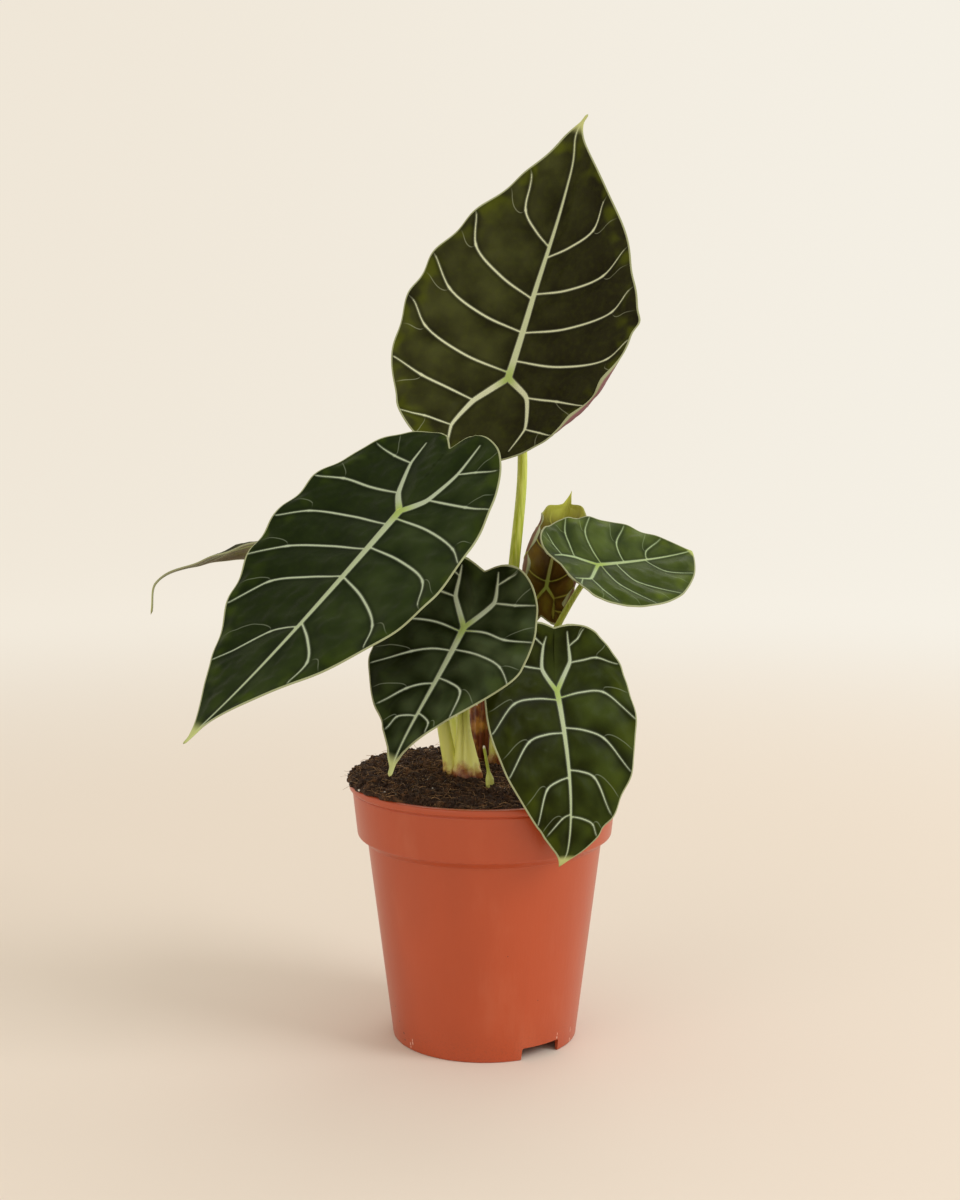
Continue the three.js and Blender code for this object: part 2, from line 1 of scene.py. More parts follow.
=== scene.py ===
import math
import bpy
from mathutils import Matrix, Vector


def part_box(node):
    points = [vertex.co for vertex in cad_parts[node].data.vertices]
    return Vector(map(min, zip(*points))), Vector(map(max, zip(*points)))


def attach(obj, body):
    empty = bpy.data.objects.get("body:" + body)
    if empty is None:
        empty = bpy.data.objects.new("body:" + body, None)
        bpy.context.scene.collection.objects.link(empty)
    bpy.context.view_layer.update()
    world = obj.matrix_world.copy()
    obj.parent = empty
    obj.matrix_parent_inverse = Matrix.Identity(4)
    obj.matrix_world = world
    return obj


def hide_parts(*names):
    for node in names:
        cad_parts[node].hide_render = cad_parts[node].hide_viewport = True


bl_info = {
    "name": "Potted Alocasia",
    "version": (1, 0, 0),
    "blender": (4, 5, 0),
    "location": "3D View > Sidebar > Alocasia",
    "description": "Builds a potted alocasia around its packed solids: pot, soil, leaves, sheath and shoot",
    "category": "Add Mesh",
}

import bmesh
import bpy
import numpy as np
from bpy.props import FloatProperty, FloatVectorProperty, IntProperty, PointerProperty
from bpy.types import Operator, Panel, PropertyGroup
from mathutils import Matrix, Vector

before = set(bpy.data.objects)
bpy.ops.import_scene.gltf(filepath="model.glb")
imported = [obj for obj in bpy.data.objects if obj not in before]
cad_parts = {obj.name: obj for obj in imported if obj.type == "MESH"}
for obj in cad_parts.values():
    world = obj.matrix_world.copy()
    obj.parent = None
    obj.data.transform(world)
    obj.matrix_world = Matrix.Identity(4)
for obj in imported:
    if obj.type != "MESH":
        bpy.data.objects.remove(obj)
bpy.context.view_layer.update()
pot_low, pot_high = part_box("pot")
POT_AXIS = Vector(((pot_low.x + pot_high.x) / 2, (pot_low.y + pot_high.y) / 2, 0))

MM = 0.001

# Pot, in millimetres and degrees like all sizes down to the camera
POT_HEIGHT = 115.4
FOOT_RADIUS = 41
FOOT_HEIGHT = 6.5
FLOOR_TOP = 8.5
WALL = 1.6
BODY_TOP = (52, 88.7)
COLLAR_BOTTOM = (56.4, 92)
COLLAR_TOP = 58.5
LIP_BOTTOM = 111.8
LIP_RADIUS = 60
EDGE_ROUNDING = 0.8
POT_SIDES = 160
NOTCH_COUNT = 2
NOTCH_WIDTH = 20
NOTCH_HEIGHT = 5.5
NOTCH_ROUNDING = 1.1
FIRST_NOTCH_DEG = 36.7
DRAIN_HOLE_COUNT = 4
DRAIN_HOLE_RADIUS = 4.5
DRAIN_HOLE_CIRCLE = 26
SLOPE = (BODY_TOP[0] - FOOT_RADIUS) / BODY_TOP[1]
# White stress marks on the foot: angle from the front, degrees wide, lower and upper end
STRESS_MARKS = (
    (-51.5, 0.5, 0.5, 4.5), (-49.2, 0.5, 2, 6), (49, 0.5, 5.6, 9), (66, 0.6, 0.3, 3), (65, 0.4, 5, 8),
)
# Dark specks of peat on the pot: angle from the front, height, radius
SPECKS = (
    (-58, 6.5, 0.7), (-57.5, 3.4, 0.6), (-62, 11, 0.45), (-66, 17, 0.5), (31, 27, 0.3), (12, 49, 0.3),
)

# Soil: its heap, and the crumbs that spill over the lip on the left
SOIL_SIDES = 260
SOIL_CLEARANCE = 0.3
SOIL_EDGE_RADIUS = 55.9
SOIL_RIM_HEIGHT = 115
SOIL_HEAP = 3
SOIL_BACK_RISE = 4.6
SOIL_BACK_DEG = 150
CRUMB_HEIGHT = 0.7
SOIL_TOP = 120
SPILL_DEG = 182
SPILL_SPAN = (0.5, 0.93)
SPILL_RINGS = ((60.4, 115.7), (60.6, 116.6), (59.2, 118), (57.6, 118.8))
SPILL_RISE = 3.4
SPILL_INNER = 0.72

# Stems: the floor of their holes, the height of their swollen bases and where two part on the clasping base
STEM_FLOOR = 98.3
SWELLING = 34
CLASPING_SWELLING = 24
CLASPING_LINE = -9.3
SLIM_RADIUS = 3.6
STEM_STOPS = 200
SHOOT_STOPS = ((2.3, -23, STEM_FLOOR), (2.3, -23, SOIL_TOP - 3), (2.2, -23, SOIL_TOP), (-0.4, -24, 135.5))
SHOOT_RADII = (1.8, 0.95, 0.6)
SHOOT_SWELLING = 4.5
SHEATH_ROOT = (-4, 24.5)
SHEATH_RADIUS = 4.8
SHEATH_ARC_DEG = 200
SHEATH_MIDDLE_DEG = -105
SHEATH_TOP = 152
SHEATH_LEAN = 3
SHEATH_FLARE = 1.6
SHEATH_WALL = 0.4

# Blades: how their bends, veins and margins are laid out
BEND_STEPS = 24
CURVE_BULGE = 0.55
FOLD_EASING = (3, 14)
TAIL_HALF_WIDTH = 0.75
VEIN_SAG = 0.06
VEIN_AHEAD = 1.2
SPUR = 0.28
RIB_STOPS = (1, 1.4, 1.75, 2)
RIB_WIDTHS = (0.85, 0.62, 0.34, 0.1)
FAN_OUTER = 1.95
FAN_INNER = (2.2, 0.75)
LOOP_SPREAD = 0.42
SCALLOP = 0.7
NEAR_ROWS = np.array([0, 0.4, 0.8, 1.2, 1.6, 2.1])
EDGE_ROWS = np.array([1.8, 1.2, 0.7, 0.3, 0.1, 0])
JOINT_GAP = 0.45

# Every leaf from the pot's axis: joint, facing, flat outline for the left and the right half, bends, petiole.
# A side vein is (leaves the midrib at, bends at x, y, ends at x, y); a lobe vein leaves a bend of the rib.
# All are shares of the half width and of the length, or of the lobe's length. Some leaves have extras:
# tail: length of the drip tip, how far it hooks aside and further on
# sways: stretches that lean aside: shares of the length where each starts, is full, fades, is gone; how far
# arch: one such stretch that rises instead
# waist: length before the tip that is narrower, and by what share
# dents: places on the margin that stand out: half, place, spread and how far
# rolls: strips of the margin that roll over: half, start, end, width and turn
NO_EXTRAS = {
    "tail": (3, 0, 0), "sways": (), "arch": (0, 1, 2, 3, 0), "waist": (1, 0), "dents": (), "rolls": (),
}
LEAVES = {
    "top": {
        "joint": (10.5, 8, 292), "face": -94, "tilt": 19, "clock": 16,
        "length": 119, "half_width": (54.5, 62), "widest": (12, 21), "lobe": (45, 43.5),
        "lobe_inset": 0.14, "sinus": 34, "belly": (2.26, 2.37), "taper": (1.53, 1.69),
        "bend": 27, "curl": 2, "lobe_bend": 27, "fold": (2.5, 33.5), "cup": (-5.5, 8), "wave": 0.8,
        "tail": (9, 5, 1), "sways": ((0.82, 1.05, 9, 10, -3), (0.3, 0.7, 0.78, 0.95, 1.4)),
        "rolls": ((1, 1.0, 1.75, 4, 150),), "dents": ((1, 0.64, 0.09, -2.8), (1, 0.9, 0.05, 2.8)),
        "midrib": 1.65, "root": (5, 18), "stem": (3.3, 1.9),
        "via": ((8.5, 19, 162), (13.5, 21, 211), (17, 24, 252), (15.5, 21, 277)),
        "veins": (
            ((0.51, 0.28, 0.62, 0.3, 0.75), (0.31, 0.58, 0.45, 0.64, 0.56), (0.18, 0.68, 0.27, 0.85, 0.37),
             (0.02, 0.78, 0.11, 0.92, 0.19)),
            ((0.47, 0.35, 0.6, 0.37, 0.71), (0.33, 0.57, 0.43, 0.7, 0.54), (0.18, 0.76, 0.29, 0.87, 0.38),
             (0.07, 0.84, 0.09, 0.98, 0.17))),
        "ribs": (((0.22, -0.3), (0.32, -0.62), (0.29, -0.87)), ((0.2, -0.2), (0.28, -0.6), (0.21, -0.88))),
        "lobe_veins": (((0.69, -0.19, 0.94, -0.09), (0.55, -0.6, 0.74, -0.62)),
                       ((0.48, -0.26, 0.78, -0.38), (0.42, -0.68, 0.56, -0.78))),
    },
    "left": {
        "joint": (-34.2, -64, 238.9), "face": -121, "tilt": 48.5, "clock": 193,
        "length": 129.5, "half_width": (46.5, 54), "widest": (32, 15), "lobe": (46, 43.5),
        "lobe_inset": 0.21, "sinus": 36.5, "belly": (2.1, 2), "taper": (2.2, 1.22),
        "bend": 2.5, "curl": 7.5, "lobe_bend": 6.5, "fold": (-5, -12), "cup": (10, 30), "wave": 0.8,
        "tail": (10, -0.5, 2.5), "midrib": 1.8, "root": (-14.6, -5.8), "stem": (3.1, 1.8),
        "via": ((-17.6, -6.3, 138), (-24.5, -10, 185), (-28, -22, 215), (-31, -44, 233)),
        "veins": (
            ((0.49, 0.36, 0.61, 0.36, 0.7), (0.29, 0.65, 0.42, 0.74, 0.5), (0.16, 0.76, 0.22, 0.91, 0.31),
             (0.03, 0.79, 0.08, 0.96, 0.13)),
            ((0.51, 0.22, 0.55, 0.46, 0.71), (0.29, 0.6, 0.38, 0.74, 0.51), (0.17, 0.71, 0.24, 0.92, 0.33),
             (0.06, 0.78, 0.09, 0.97, 0.16))),
        "ribs": (((0.19, -0.19), (0.28, -0.53), (0.29, -0.88)),
                 ((0.15, -0.21), (0.26, -0.58), (0.26, -0.84))),
        "lobe_veins": (((0.6, -0.22, 0.86, -0.24), (0.44, -0.6, 0.62, -0.66)),
                       ((0.73, -0.2, 0.93, -0.1), (0.46, -0.62, 0.66, -0.68))),
    },
    "centre": {
        "joint": (-8.5, -52, 190.3), "face": -110.5, "tilt": 32, "clock": 195.3,
        "length": 68.7, "half_width": (33, 37.5), "widest": (10, 9.6), "lobe": (31, 28.6),
        "lobe_inset": 0.41, "sinus": 25.4, "belly": (1.49, 1.94), "taper": (1.8, 1.63),
        "bend": 16.5, "curl": -36, "lobe_bend": 35, "fold": (8, 3.6), "cup": (-10.6, -10), "wave": 0.6,
        "tail": (9, 0, 1), "waist": (10, -0.45), "dents": ((1, 0.5, 0.14, 1.9),),
        "midrib": 1.4, "root": (-7.8, -7), "stem": (5.6, 1.7),
        "via": ((-9.2, -7.5, 140), (-9, -16, 163), (-7.6, -34, 181)),
        "veins": (
            ((0.6, 0.2, 0.64, 0.22, 0.7), (0.35, 0.38, 0.39, 0.43, 0.57), (0.15, 0.71, 0.17, 0.9, 0.26),
             (0.02, 0.6, 0, 0.97, -0.04)),
            ((0.62, 0.2, 0.67, 0.24, 0.76), (0.39, 0.26, 0.48, 0.44, 0.63), (0.16, 0.44, 0.25, 0.79, 0.4),
             (0.03, 0.68, 0.06, 0.94, 0.13))),
        "ribs": (((0.26, -0.44), (0.23, -0.68), (0.2, -0.85)), ((0.25, -0.4), (0.28, -0.7), (0.29, -0.86))),
        "lobe_veins": (((0.55, -0.5, 0.8, -0.58), (0.36, -0.82, 0.44, -0.9)),
                       ((0.48, -0.41, 0.8, -0.44), (0.42, -0.78, 0.52, -0.86))),
    },
    "lower_right": {
        "joint": (29.9, -46, 162.7), "face": -58.8, "tilt": 26, "clock": 183,
        "length": 73.3, "half_width": (33.2, 35), "widest": (7.8, 8.7), "lobe": (28.7, 29.7),
        "lobe_inset": 0.3, "sinus": 27.3, "belly": (2.15, 1.95), "taper": (0.95, 1.01),
        "bend": -22.8, "curl": -27.5, "lobe_bend": 36, "fold": (10.3, 3), "cup": (2, -10.6), "wave": 0.5,
        "tail": (5, 2, 1.5), "midrib": 1.2, "root": (12.5, 1), "stem": (2.5, 1.6),
        "via": ((14.5, -1, 136), (18, -10, 150), (24, -28, 161)),
        "veins": (
            ((0.71, 0.3, 0.76, 0.35, 0.82), (0.45, 0.33, 0.5, 0.52, 0.7), (0.21, 0.52, 0.29, 0.81, 0.48),
             (0.04, 0.62, 0.03, 0.97, 0.2)),
            ((0.7, 0.12, 0.72, 0.3, 0.8), (0.49, 0.32, 0.55, 0.45, 0.74), (0.24, 0.5, 0.28, 0.8, 0.47),
             (0.05, 0.62, 0.06, 0.95, 0.22))),
        "ribs": (((0.23, -0.42), (0.22, -0.66), (0.19, -0.88)), ((0.16, -0.33), (0.13, -0.66), (0.1, -0.78))),
        "lobe_veins": (((0.6, -0.48, 0.86, -0.36), (0.34, -0.78, 0.4, -0.92)),
                       ((0.52, -0.4, 0.86, -0.2), (0.24, -0.76, 0.42, -0.84))),
    },
    "right": {
        "joint": (49.4, -2, 211), "face": -50, "tilt": 51.3, "clock": 91,
        "length": 56, "half_width": (28, 31), "widest": (5, 5), "lobe": (26.6, 23.7),
        "lobe_inset": 0.37, "sinus": 23.3, "belly": (1.84, 2.37), "taper": (0.95, 0.81),
        "bend": 6.3, "curl": 8.7, "lobe_bend": 12.5, "fold": (6.5, 12.2), "cup": (0, -7.7), "wave": 0.4,
        "midrib": 0.95, "root": (11.5, 9.5), "stem": (2.1, 1.2),
        "via": ((15, 9, 140), (23, 8, 163), (35, 6.5, 188), (43, 3, 202)),
        "veins": (
            ((0.52, 0.17, 0.57, 0.35, 0.78), (0.28, 0.41, 0.33, 0.7, 0.5), (0.04, 0.68, 0.08, 0.95, 0.21)),
            ((0.5, 0.32, 0.58, 0.47, 0.8), (0.19, 0.46, 0.2, 0.84, 0.51), (0.03, 0.5, 0.01, 0.96, 0.18))),
        "ribs": (((0.19, -0.38), (0.23, -0.65), (0.21, -0.84)), ((0.29, -0.47), (0.3, -0.7), (0.3, -0.9))),
        "lobe_veins": (((0.7, -0.26, 0.97, -0.08), (0.45, -0.7, 0.66, -0.7)),
                       ((0.56, -0.46, 0.82, -0.38), (0.4, -0.85, 0.46, -0.92))),
    },
    "young": {
        "joint": (28.5, 36, 197), "face": -105, "tilt": 28, "clock": 4,
        "length": 54, "half_width": (18, 25), "widest": (9, 5.5), "lobe": (21.5, 18),
        "lobe_inset": 0.4, "sinus": 14.5, "belly": (2.1, 2), "taper": (1.15, 1.05),
        "bend": -27, "curl": -1, "lobe_bend": -5, "fold": (30, 30), "cup": (30, 22), "wave": 1.4,
        "tail": (9, -0.5, 4), "waist": (15, 0.7), "dents": ((1, 1.6, 0.3, -3),),
        "rolls": ((0, 0.35, 1.5, 5, 150), (1, 0.95, 1.9, 3.5, 170)),
        "midrib": 0.9, "root": (-4, 24.5), "stem": (2.3, 1.3),
        "via": ((-1, 27, 145), (8, 34, 167), (22, 42, 183)),
        "veins": (
            ((0.55, 0.32, 0.62, 0.37, 0.73), (0.3, 0.55, 0.38, 0.72, 0.5), (0.05, 0.6, 0.1, 0.92, 0.22)),
        ) * 2,
        "ribs": (((0.2, -0.3), (0.27, -0.6), (0.27, -0.84)),) * 2,
        "lobe_veins": (((0.6, -0.28, 0.88, -0.2), (0.42, -0.66, 0.6, -0.7)),) * 2,
    },
    "far_left": {
        "joint": (-70, 34, 221), "face": -98, "tilt": 92, "clock": 248,
        "length": 91, "half_width": (34, 37), "widest": (0, -4), "lobe": (32, 32),
        "lobe_inset": 0.45, "sinus": 20, "belly": (1.8, 2.15), "taper": (2.3, 2.3),
        "bend": -30, "curl": -35, "lobe_bend": -5, "fold": (7, -10), "cup": (-7, -32), "wave": 0.4,
        "tail": (12, 4, 3), "waist": (24, 0.35), "arch": (0.66, 0.88, 0.89, 1, 5),
        "midrib": 1.2, "root": (-10.8, 3.2), "stem": (2.1, 1.6),
        "via": ((-15.5, 7, 146), (-31, 16, 177), (-52, 27, 203), (-64, 32, 213.5)),
        "veins": (
            ((0.5, 0.16, 0.56, 0.2, 0.6), (0.28, 0.4, 0.36, 0.48, 0.42), (0.05, 0.68, 0.1, 0.84, 0.16)),
            ((0.5, 0.18, 0.56, 0.24, 0.6), (0.28, 0.46, 0.36, 0.56, 0.42), (0.05, 0.68, 0.1, 0.86, 0.16))),
        "ribs": (((0.2, -0.3), (0.28, -0.6), (0.27, -0.84)),) * 2,
        "lobe_veins": (((0.6, -0.28, 0.88, -0.2), (0.44, -0.66, 0.62, -0.7)),) * 2,
    },
}


def tone(red, green, blue):
    """A linear colour from the usual 0 to 255 display values."""
    shares = [value / 255 for value in (red, green, blue)]
    return tuple(s / 12.92 if s <= 0.04045 else ((s + 0.055) / 1.055) ** 2.4 for s in shares)


# Each blade's dark panels, brighter places, dusky right half, sunny patches and veins
LEAF_LOOKS = {
    "top": (tone(35, 34, 14), tone(64, 66, 32), tone(26, 22, 8), tone(92, 100, 8), tone(218, 222, 184)),
    "left": (tone(24, 34, 10), tone(47, 58, 27), tone(22, 31, 8), tone(62, 78, 16), tone(182, 194, 164)),
    "centre": (tone(23, 31, 9), tone(74, 86, 56), tone(18, 23, 4), tone(64, 80, 30), tone(196, 210, 182)),
    "lower_right": (tone(27, 32, 5), tone(58, 69, 24), tone(28, 30, 2), tone(68, 78, 8), tone(184, 196, 166)),
    "right": (tone(46, 58, 26), tone(82, 97, 46), tone(54, 66, 18), tone(100, 116, 32), tone(174, 194, 146)),
    "young": (tone(62, 42, 12), tone(116, 90, 30), tone(84, 56, 24), tone(150, 148, 48), tone(168, 164, 72)),
    "far_left": (tone(40, 42, 22), tone(66, 66, 36), tone(44, 38, 20), tone(84, 84, 40), tone(150, 154, 110)),
}
# Lower faces that aren't mauve, and pale tips that reach further than the drip tip
LEAF_UNDERSIDES = {"young": tone(112, 82, 64), "far_left": tone(86, 78, 54), "right": tone(110, 128, 84)}
TIP_REACH = {"young": 3}

# Camera, as the photograph was taken
CAMERA_PLACE = (-2, -784, 292)
CAMERA_DOWN_DEG = 7.02
CAMERA_LENS = 54

# The stage in metres and its lamps: place, size, power and colour
STAGE_RADIUS = 2.6
STAGE_SWEEP = 1
STAGE_HEIGHT = 2.4
WALL_STARTS = (0.35, 1.5)
WORLD_STRENGTH = 0.7
LAMP_TARGET = Vector((0, 0, 0.2))
LAMPS = (
    ("key", (1.75, -0.8, 1.5), 1.1, 23, (0.97, 0.985, 1)),
    ("fill", (-1.3, -1.4, 0.9), 1.8, 6.5, (1, 0.98, 0.95)),
    ("back", (0.5, 1.3, 1.5), 1.2, 5, (1, 0.98, 0.94)),
)


def length_property(name, description, default, low, high):
    return FloatProperty(name=name, description=description, default=default * MM, min=low * MM,
                         max=high * MM, unit="LENGTH", precision=5)


def density_property(name, description, default):
    return FloatProperty(name=name, description=description, default=default, min=0)


def colour_property(name, description, default):
    return FloatVectorProperty(name=name, description=description, default=default, size=3, min=0, max=1,
                               subtype="COLOR")


class AlocasiaSizes(PropertyGroup):
    blade_thickness: length_property("Blade thickness", "Thickness of a blade between its veins", 0.7, 0.2, 2)
    grid_step: length_property("Blade grid step", "Distance between a blade's mesh lines", 1.08, 0.6, 4)
    quilting: length_property("Quilting", "How far the blade swells up between its veins", 1, 0, 3)
    ripple: length_property("Ripples", "Height of the fine ripples across each panel", 0.55, 0, 2)
    undulation: length_property("Undulation", "Height of the broad soft swells in the panels", 2.6, 0, 6)
    vein_rise: length_property("Vein rise", "Height of the veins over the blade's upper face", 0.22, 0, 1)
    midrib_depth: length_property("Midrib depth", "How far the ribs stand out under the blade", 0.8, 0, 2)
    crumb_size: length_property("Crumb size", "Radius of a middling soil crumb", 0.75, 0.2, 3)
    crumb_density: density_property("Crumb density", "Soil crumbs on each square metre of soil", 475000)
    perlite_density: density_property("Perlite density", "White grains on each square metre of soil", 4200)
    fibre_density: density_property("Fibre density", "Peat fibres on each square metre of soil", 110000)
    seed: IntProperty(name="Seed", description="Seed of the soil's scattering", default=7)


class AlocasiaColours(PropertyGroup):
    vein: colour_property("Veins", "Colour of the ribs under the blades", tone(172, 186, 160))
    margin: colour_property("Margin", "Colour of the blades' edge line", tone(156, 160, 122))
    joint: colour_property("Joint", "Colour of the blade where the petiole meets it", tone(160, 184, 84))
    tail: colour_property("Drip tip", "Colour of the blades' drip tips", tone(176, 180, 70))
    underside: colour_property("Underside", "Colour of the blades' lower face", tone(122, 84, 86))
    petiole: colour_property("Petiole", "Colour of the petioles", tone(164, 180, 30))
    petiole_base: colour_property("Petiole base", "Colour of the thick bases", tone(242, 243, 134))
    torn_base: colour_property("Torn base", "Colour of the petioles at the soil", tone(178, 98, 52))
    sheath: colour_property("Sheath", "Colour of the papery sheath", tone(128, 58, 22))
    soil: colour_property("Soil", "Colour of the moist peat", tone(74, 51, 33))
    fibre: colour_property("Fibre", "Colour of the peat fibres", tone(186, 146, 98))
    pot: colour_property("Pot", "Colour of the pot's plastic", tone(177, 73, 33))
    floor: colour_property("Floor", "Colour of the studio floor", tone(228, 217, 204))


def piece_object(name, mesh, nodes):
    """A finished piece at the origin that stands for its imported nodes."""
    piece = bpy.data.objects.new(name, mesh)
    bpy.context.scene.collection.objects.link(piece)
    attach(piece, "root")
    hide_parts(*nodes)
    return piece


def smooth_shaded(mesh):
    mesh.polygons.foreach_set("use_smooth", np.ones(len(mesh.polygons), bool))
    return mesh


def store(mesh, name, numbers):
    mesh.attributes.new(name, "FLOAT", "POINT").data.foreach_set("value", numbers.astype(np.float32))


def plain_mesh(holder):
    """What a holder's modifiers make of its mesh; the holder is removed."""
    depsgraph = bpy.context.evaluated_depsgraph_get()
    result = bpy.data.meshes.new_from_object(holder.evaluated_get(depsgraph), depsgraph=depsgraph)
    bpy.data.objects.remove(holder)
    return result


# Node building blocks

class Value:
    """A node's output that takes part in plain arithmetic."""

    def __init__(self, tree, socket):
        self.tree = tree
        self.socket = socket

    def math(self, operation, *others):
        return add(self.tree, "ShaderNodeMath", dict(enumerate((self, *others))), operation=operation)

    def __add__(self, other):
        return self.math("ADD", other)

    def __sub__(self, other):
        return self.math("SUBTRACT", other)

    def __mul__(self, other):
        return self.math("MULTIPLY", other)

    def __truediv__(self, other):
        return self.math("DIVIDE", other)

    def __rsub__(self, other):
        return self * -1 + other

    def __abs__(self):
        return self.math("ABSOLUTE")


def add(tree, kind, inputs=None, output=0, **settings):
    """An output of a new node: settings first, then its inputs from plain values or other nodes' outputs."""
    node = tree.nodes.new(kind)
    for key, value in settings.items():
        setattr(node, key, value)
    for key, value in (inputs or {}).items():
        if isinstance(value, Value):
            tree.links.new(value.socket, node.inputs[key])
        else:
            node.inputs[key].default_value = value
    return Value(tree, node.outputs[output]) if node.outputs else None


def axes(vector):
    """The three numbers of a vector."""
    x = add(vector.tree, "ShaderNodeSeparateXYZ", {0: vector})
    return [Value(x.tree, socket) for socket in x.socket.node.outputs]


def map_range(value, low, high, to_low=0, to_high=1, ease="LINEAR"):
    return add(value.tree, "ShaderNodeMapRange", {
        "Value": value, "From Min": low, "From Max": high, "To Min": to_low, "To Max": to_high,
    }, interpolation_type=ease)


def band(value, low, high):
    """0 below low, 1 above high, smooth between; turned round where low is above high."""
    if low < high:
        return map_range(value, low, high, ease="SMOOTHSTEP")
    return map_range(value, high, low, 1, 0, "SMOOTHSTEP")


def noise(vector, scale, detail=3, roughness=0.55, distortion=0):
    return add(vector.tree, "ShaderNodeTexNoise", {
        "Vector": vector, "Scale": scale, "Detail": detail, "Roughness": roughness, "Distortion": distortion})


def hypotenuse(a, b):
    return (a * a + b * b).math("SQRT")


def times(vector, factor):
    return add(vector.tree, "ShaderNodeVectorMath", {0: vector, "Scale": factor}, operation="SCALE")


def ripple_place(reach, panel, scale):
    """Where a ripple lies: along arcs that cross each panel and bulge towards the margin."""
    across = panel.math("FRACT")
    bow = across * (1 - across) * 22
    return add(reach.tree, "ShaderNodeCombineXYZ", {0: (reach - bow) * scale, 1: panel * 0.9})


def new_material(name):
    material = bpy.data.materials.new(name)
    material.use_nodes = True
    material.node_tree.nodes.clear()
    return material, material.node_tree


def finish_material(tree, inputs):
    """The surface shader with its inputs, joined to the output."""
    add(tree, "ShaderNodeOutputMaterial", {"Surface": add(tree, "ShaderNodeBsdfPrincipled", inputs)})


def named(tree, *names):
    """Numbers that the mesh holds at its points."""
    return [add(tree, "ShaderNodeAttribute", output="Fac", attribute_name=name) for name in names]


def flat_place(tree):
    """The place on the flat blade that a point was bent from."""
    return add(tree, "ShaderNodeAttribute", output="Vector", attribute_name="flat")


def object_place(tree):
    return add(tree, "ShaderNodeTexCoord", output="Object")


def place_from_axis(tree):
    return add(tree, "ShaderNodeMapping", {"Vector": object_place(tree), "Location": tuple(-POT_AXIS)})


def scaled(vector, *scale):
    return add(vector.tree, "ShaderNodeMapping", {"Vector": vector, "Scale": scale})


def shade(colour, factor):
    return tuple(min(1, c * factor) for c in colour)


def blend(share, first, second):
    """A fixed colour between two."""
    return tuple(a + (b - a) * share for a, b in zip(first, second))


def mixed(share, first, second):
    """One colour turning into another over the surface."""
    first, second = [c if isinstance(c, Value) else (*c, 1) for c in (first, second)]
    return add(share.tree, "ShaderNodeMix", {0: share, 6: first, 7: second}, output=2, data_type="RGBA")


def bump(height, distance, normal=None):
    inputs = {"Height": height, "Distance": distance, "Strength": 1}
    if normal is not None:
        inputs["Normal"] = normal
    return add(height.tree, "ShaderNodeBump", inputs)


# The flat leaf and its bends, as the solids have them

def smooth(value, low, high):
    t = np.clip((value - low) / (high - low), 0, 1)
    return t * t * (3 - 2 * t)


def bezier(a, b, c, d, t):
    s = 1 - t
    ends = [np.array(point, float)[:, None] for point in (a, b, c, d)]
    return s ** 3 * ends[0] + 3 * s * s * t * ends[1] + 3 * s * t * t * ends[2] + t ** 3 * ends[3]


def curved(at, stops, values):
    """A smooth curve through values at their stops."""
    stops, values = np.array(stops, float), np.array(values, float)
    slopes = 0.5 * np.gradient(values, stops)
    k = np.clip(np.searchsorted(stops, at) - 1, 0, len(stops) - 2)
    gap = stops[k + 1] - stops[k]
    t = np.clip((at - stops[k]) / gap, 0, 1)
    return ((2 * t ** 3 - 3 * t * t + 1) * values[k] + (t ** 3 - 2 * t * t + t) * gap * slopes[k]
            + (3 * t * t - 2 * t ** 3) * values[k + 1] + (t ** 3 - t * t) * gap * slopes[k + 1])


def smooth_path(stops, count):
    """Points evenly along a centripetal curve through the stops."""
    stops = [Vector(stop) for stop in stops]
    ends = [stops[0] * 2 - stops[1], *stops, stops[-1] * 2 - stops[-2]]
    points = []
    for p0, p1, p2, p3 in zip(ends, ends[1:], ends[2:], ends[3:]):
        d1, d2, d3 = [max((b - a).length ** 0.5, 1e-4) for a, b in ((p0, p1), (p1, p2), (p2, p3))]
        t1 = (p1 - p0) / d1 - (p2 - p0) / (d1 + d2) + (p2 - p1) / d2
        t2 = (p2 - p1) / d2 - (p3 - p1) / (d2 + d3) + (p3 - p2) / d3
        for k in range(24):
            u = k / 24
            points.append((2 * u ** 3 - 3 * u * u + 1) * p1 + (u ** 3 - 2 * u * u + u) * t1 * d2
                          + (3 * u * u - 2 * u ** 3) * p2 + (u ** 3 - u * u) * t2 * d2)
    place = np.array([*points, stops[-1]])
    lengths = np.concatenate([[0], np.cumsum(np.linalg.norm(np.diff(place, axis=0), axis=1))])
    even = np.linspace(0, lengths[-1], count)
    return np.stack([np.interp(even, lengths, axis) for axis in place.T], axis=1)


def rounded(stops, reach, steps=4):
    """Flat points through the stops with each inner corner rounded, as far as its two sides allow."""
    points = [Vector(stop) for stop in stops]
    result = [points[0]]
    for before, corner, after in zip(points, points[1:], points[2:]):
        near = min(reach, (corner - before).length * 0.45, (after - corner).length * 0.45)
        start = corner + (before - corner).normalized() * near
        end = corner + (after - corner).normalized() * near
        for k in range(steps + 1):
            t = k / steps
            result.append((1 - t) ** 2 * start + 2 * t * (1 - t) * corner + t * t * end)
    result.append(points[-1])
    return [tuple(point) for point in result]


def bent_strip(angle_at, share, unit):
    """How far a strip that bends as it goes has come along and up at a share of its unit length."""
    steps = (np.arange(BEND_STEPS) + 0.5) / BEND_STEPS
    angle = np.radians(angle_at(share[:, None] * steps))
    stretch = share * unit / BEND_STEPS
    return np.cos(angle).sum(1) * stretch, np.sin(angle).sum(1) * stretch, np.radians(angle_at(share))


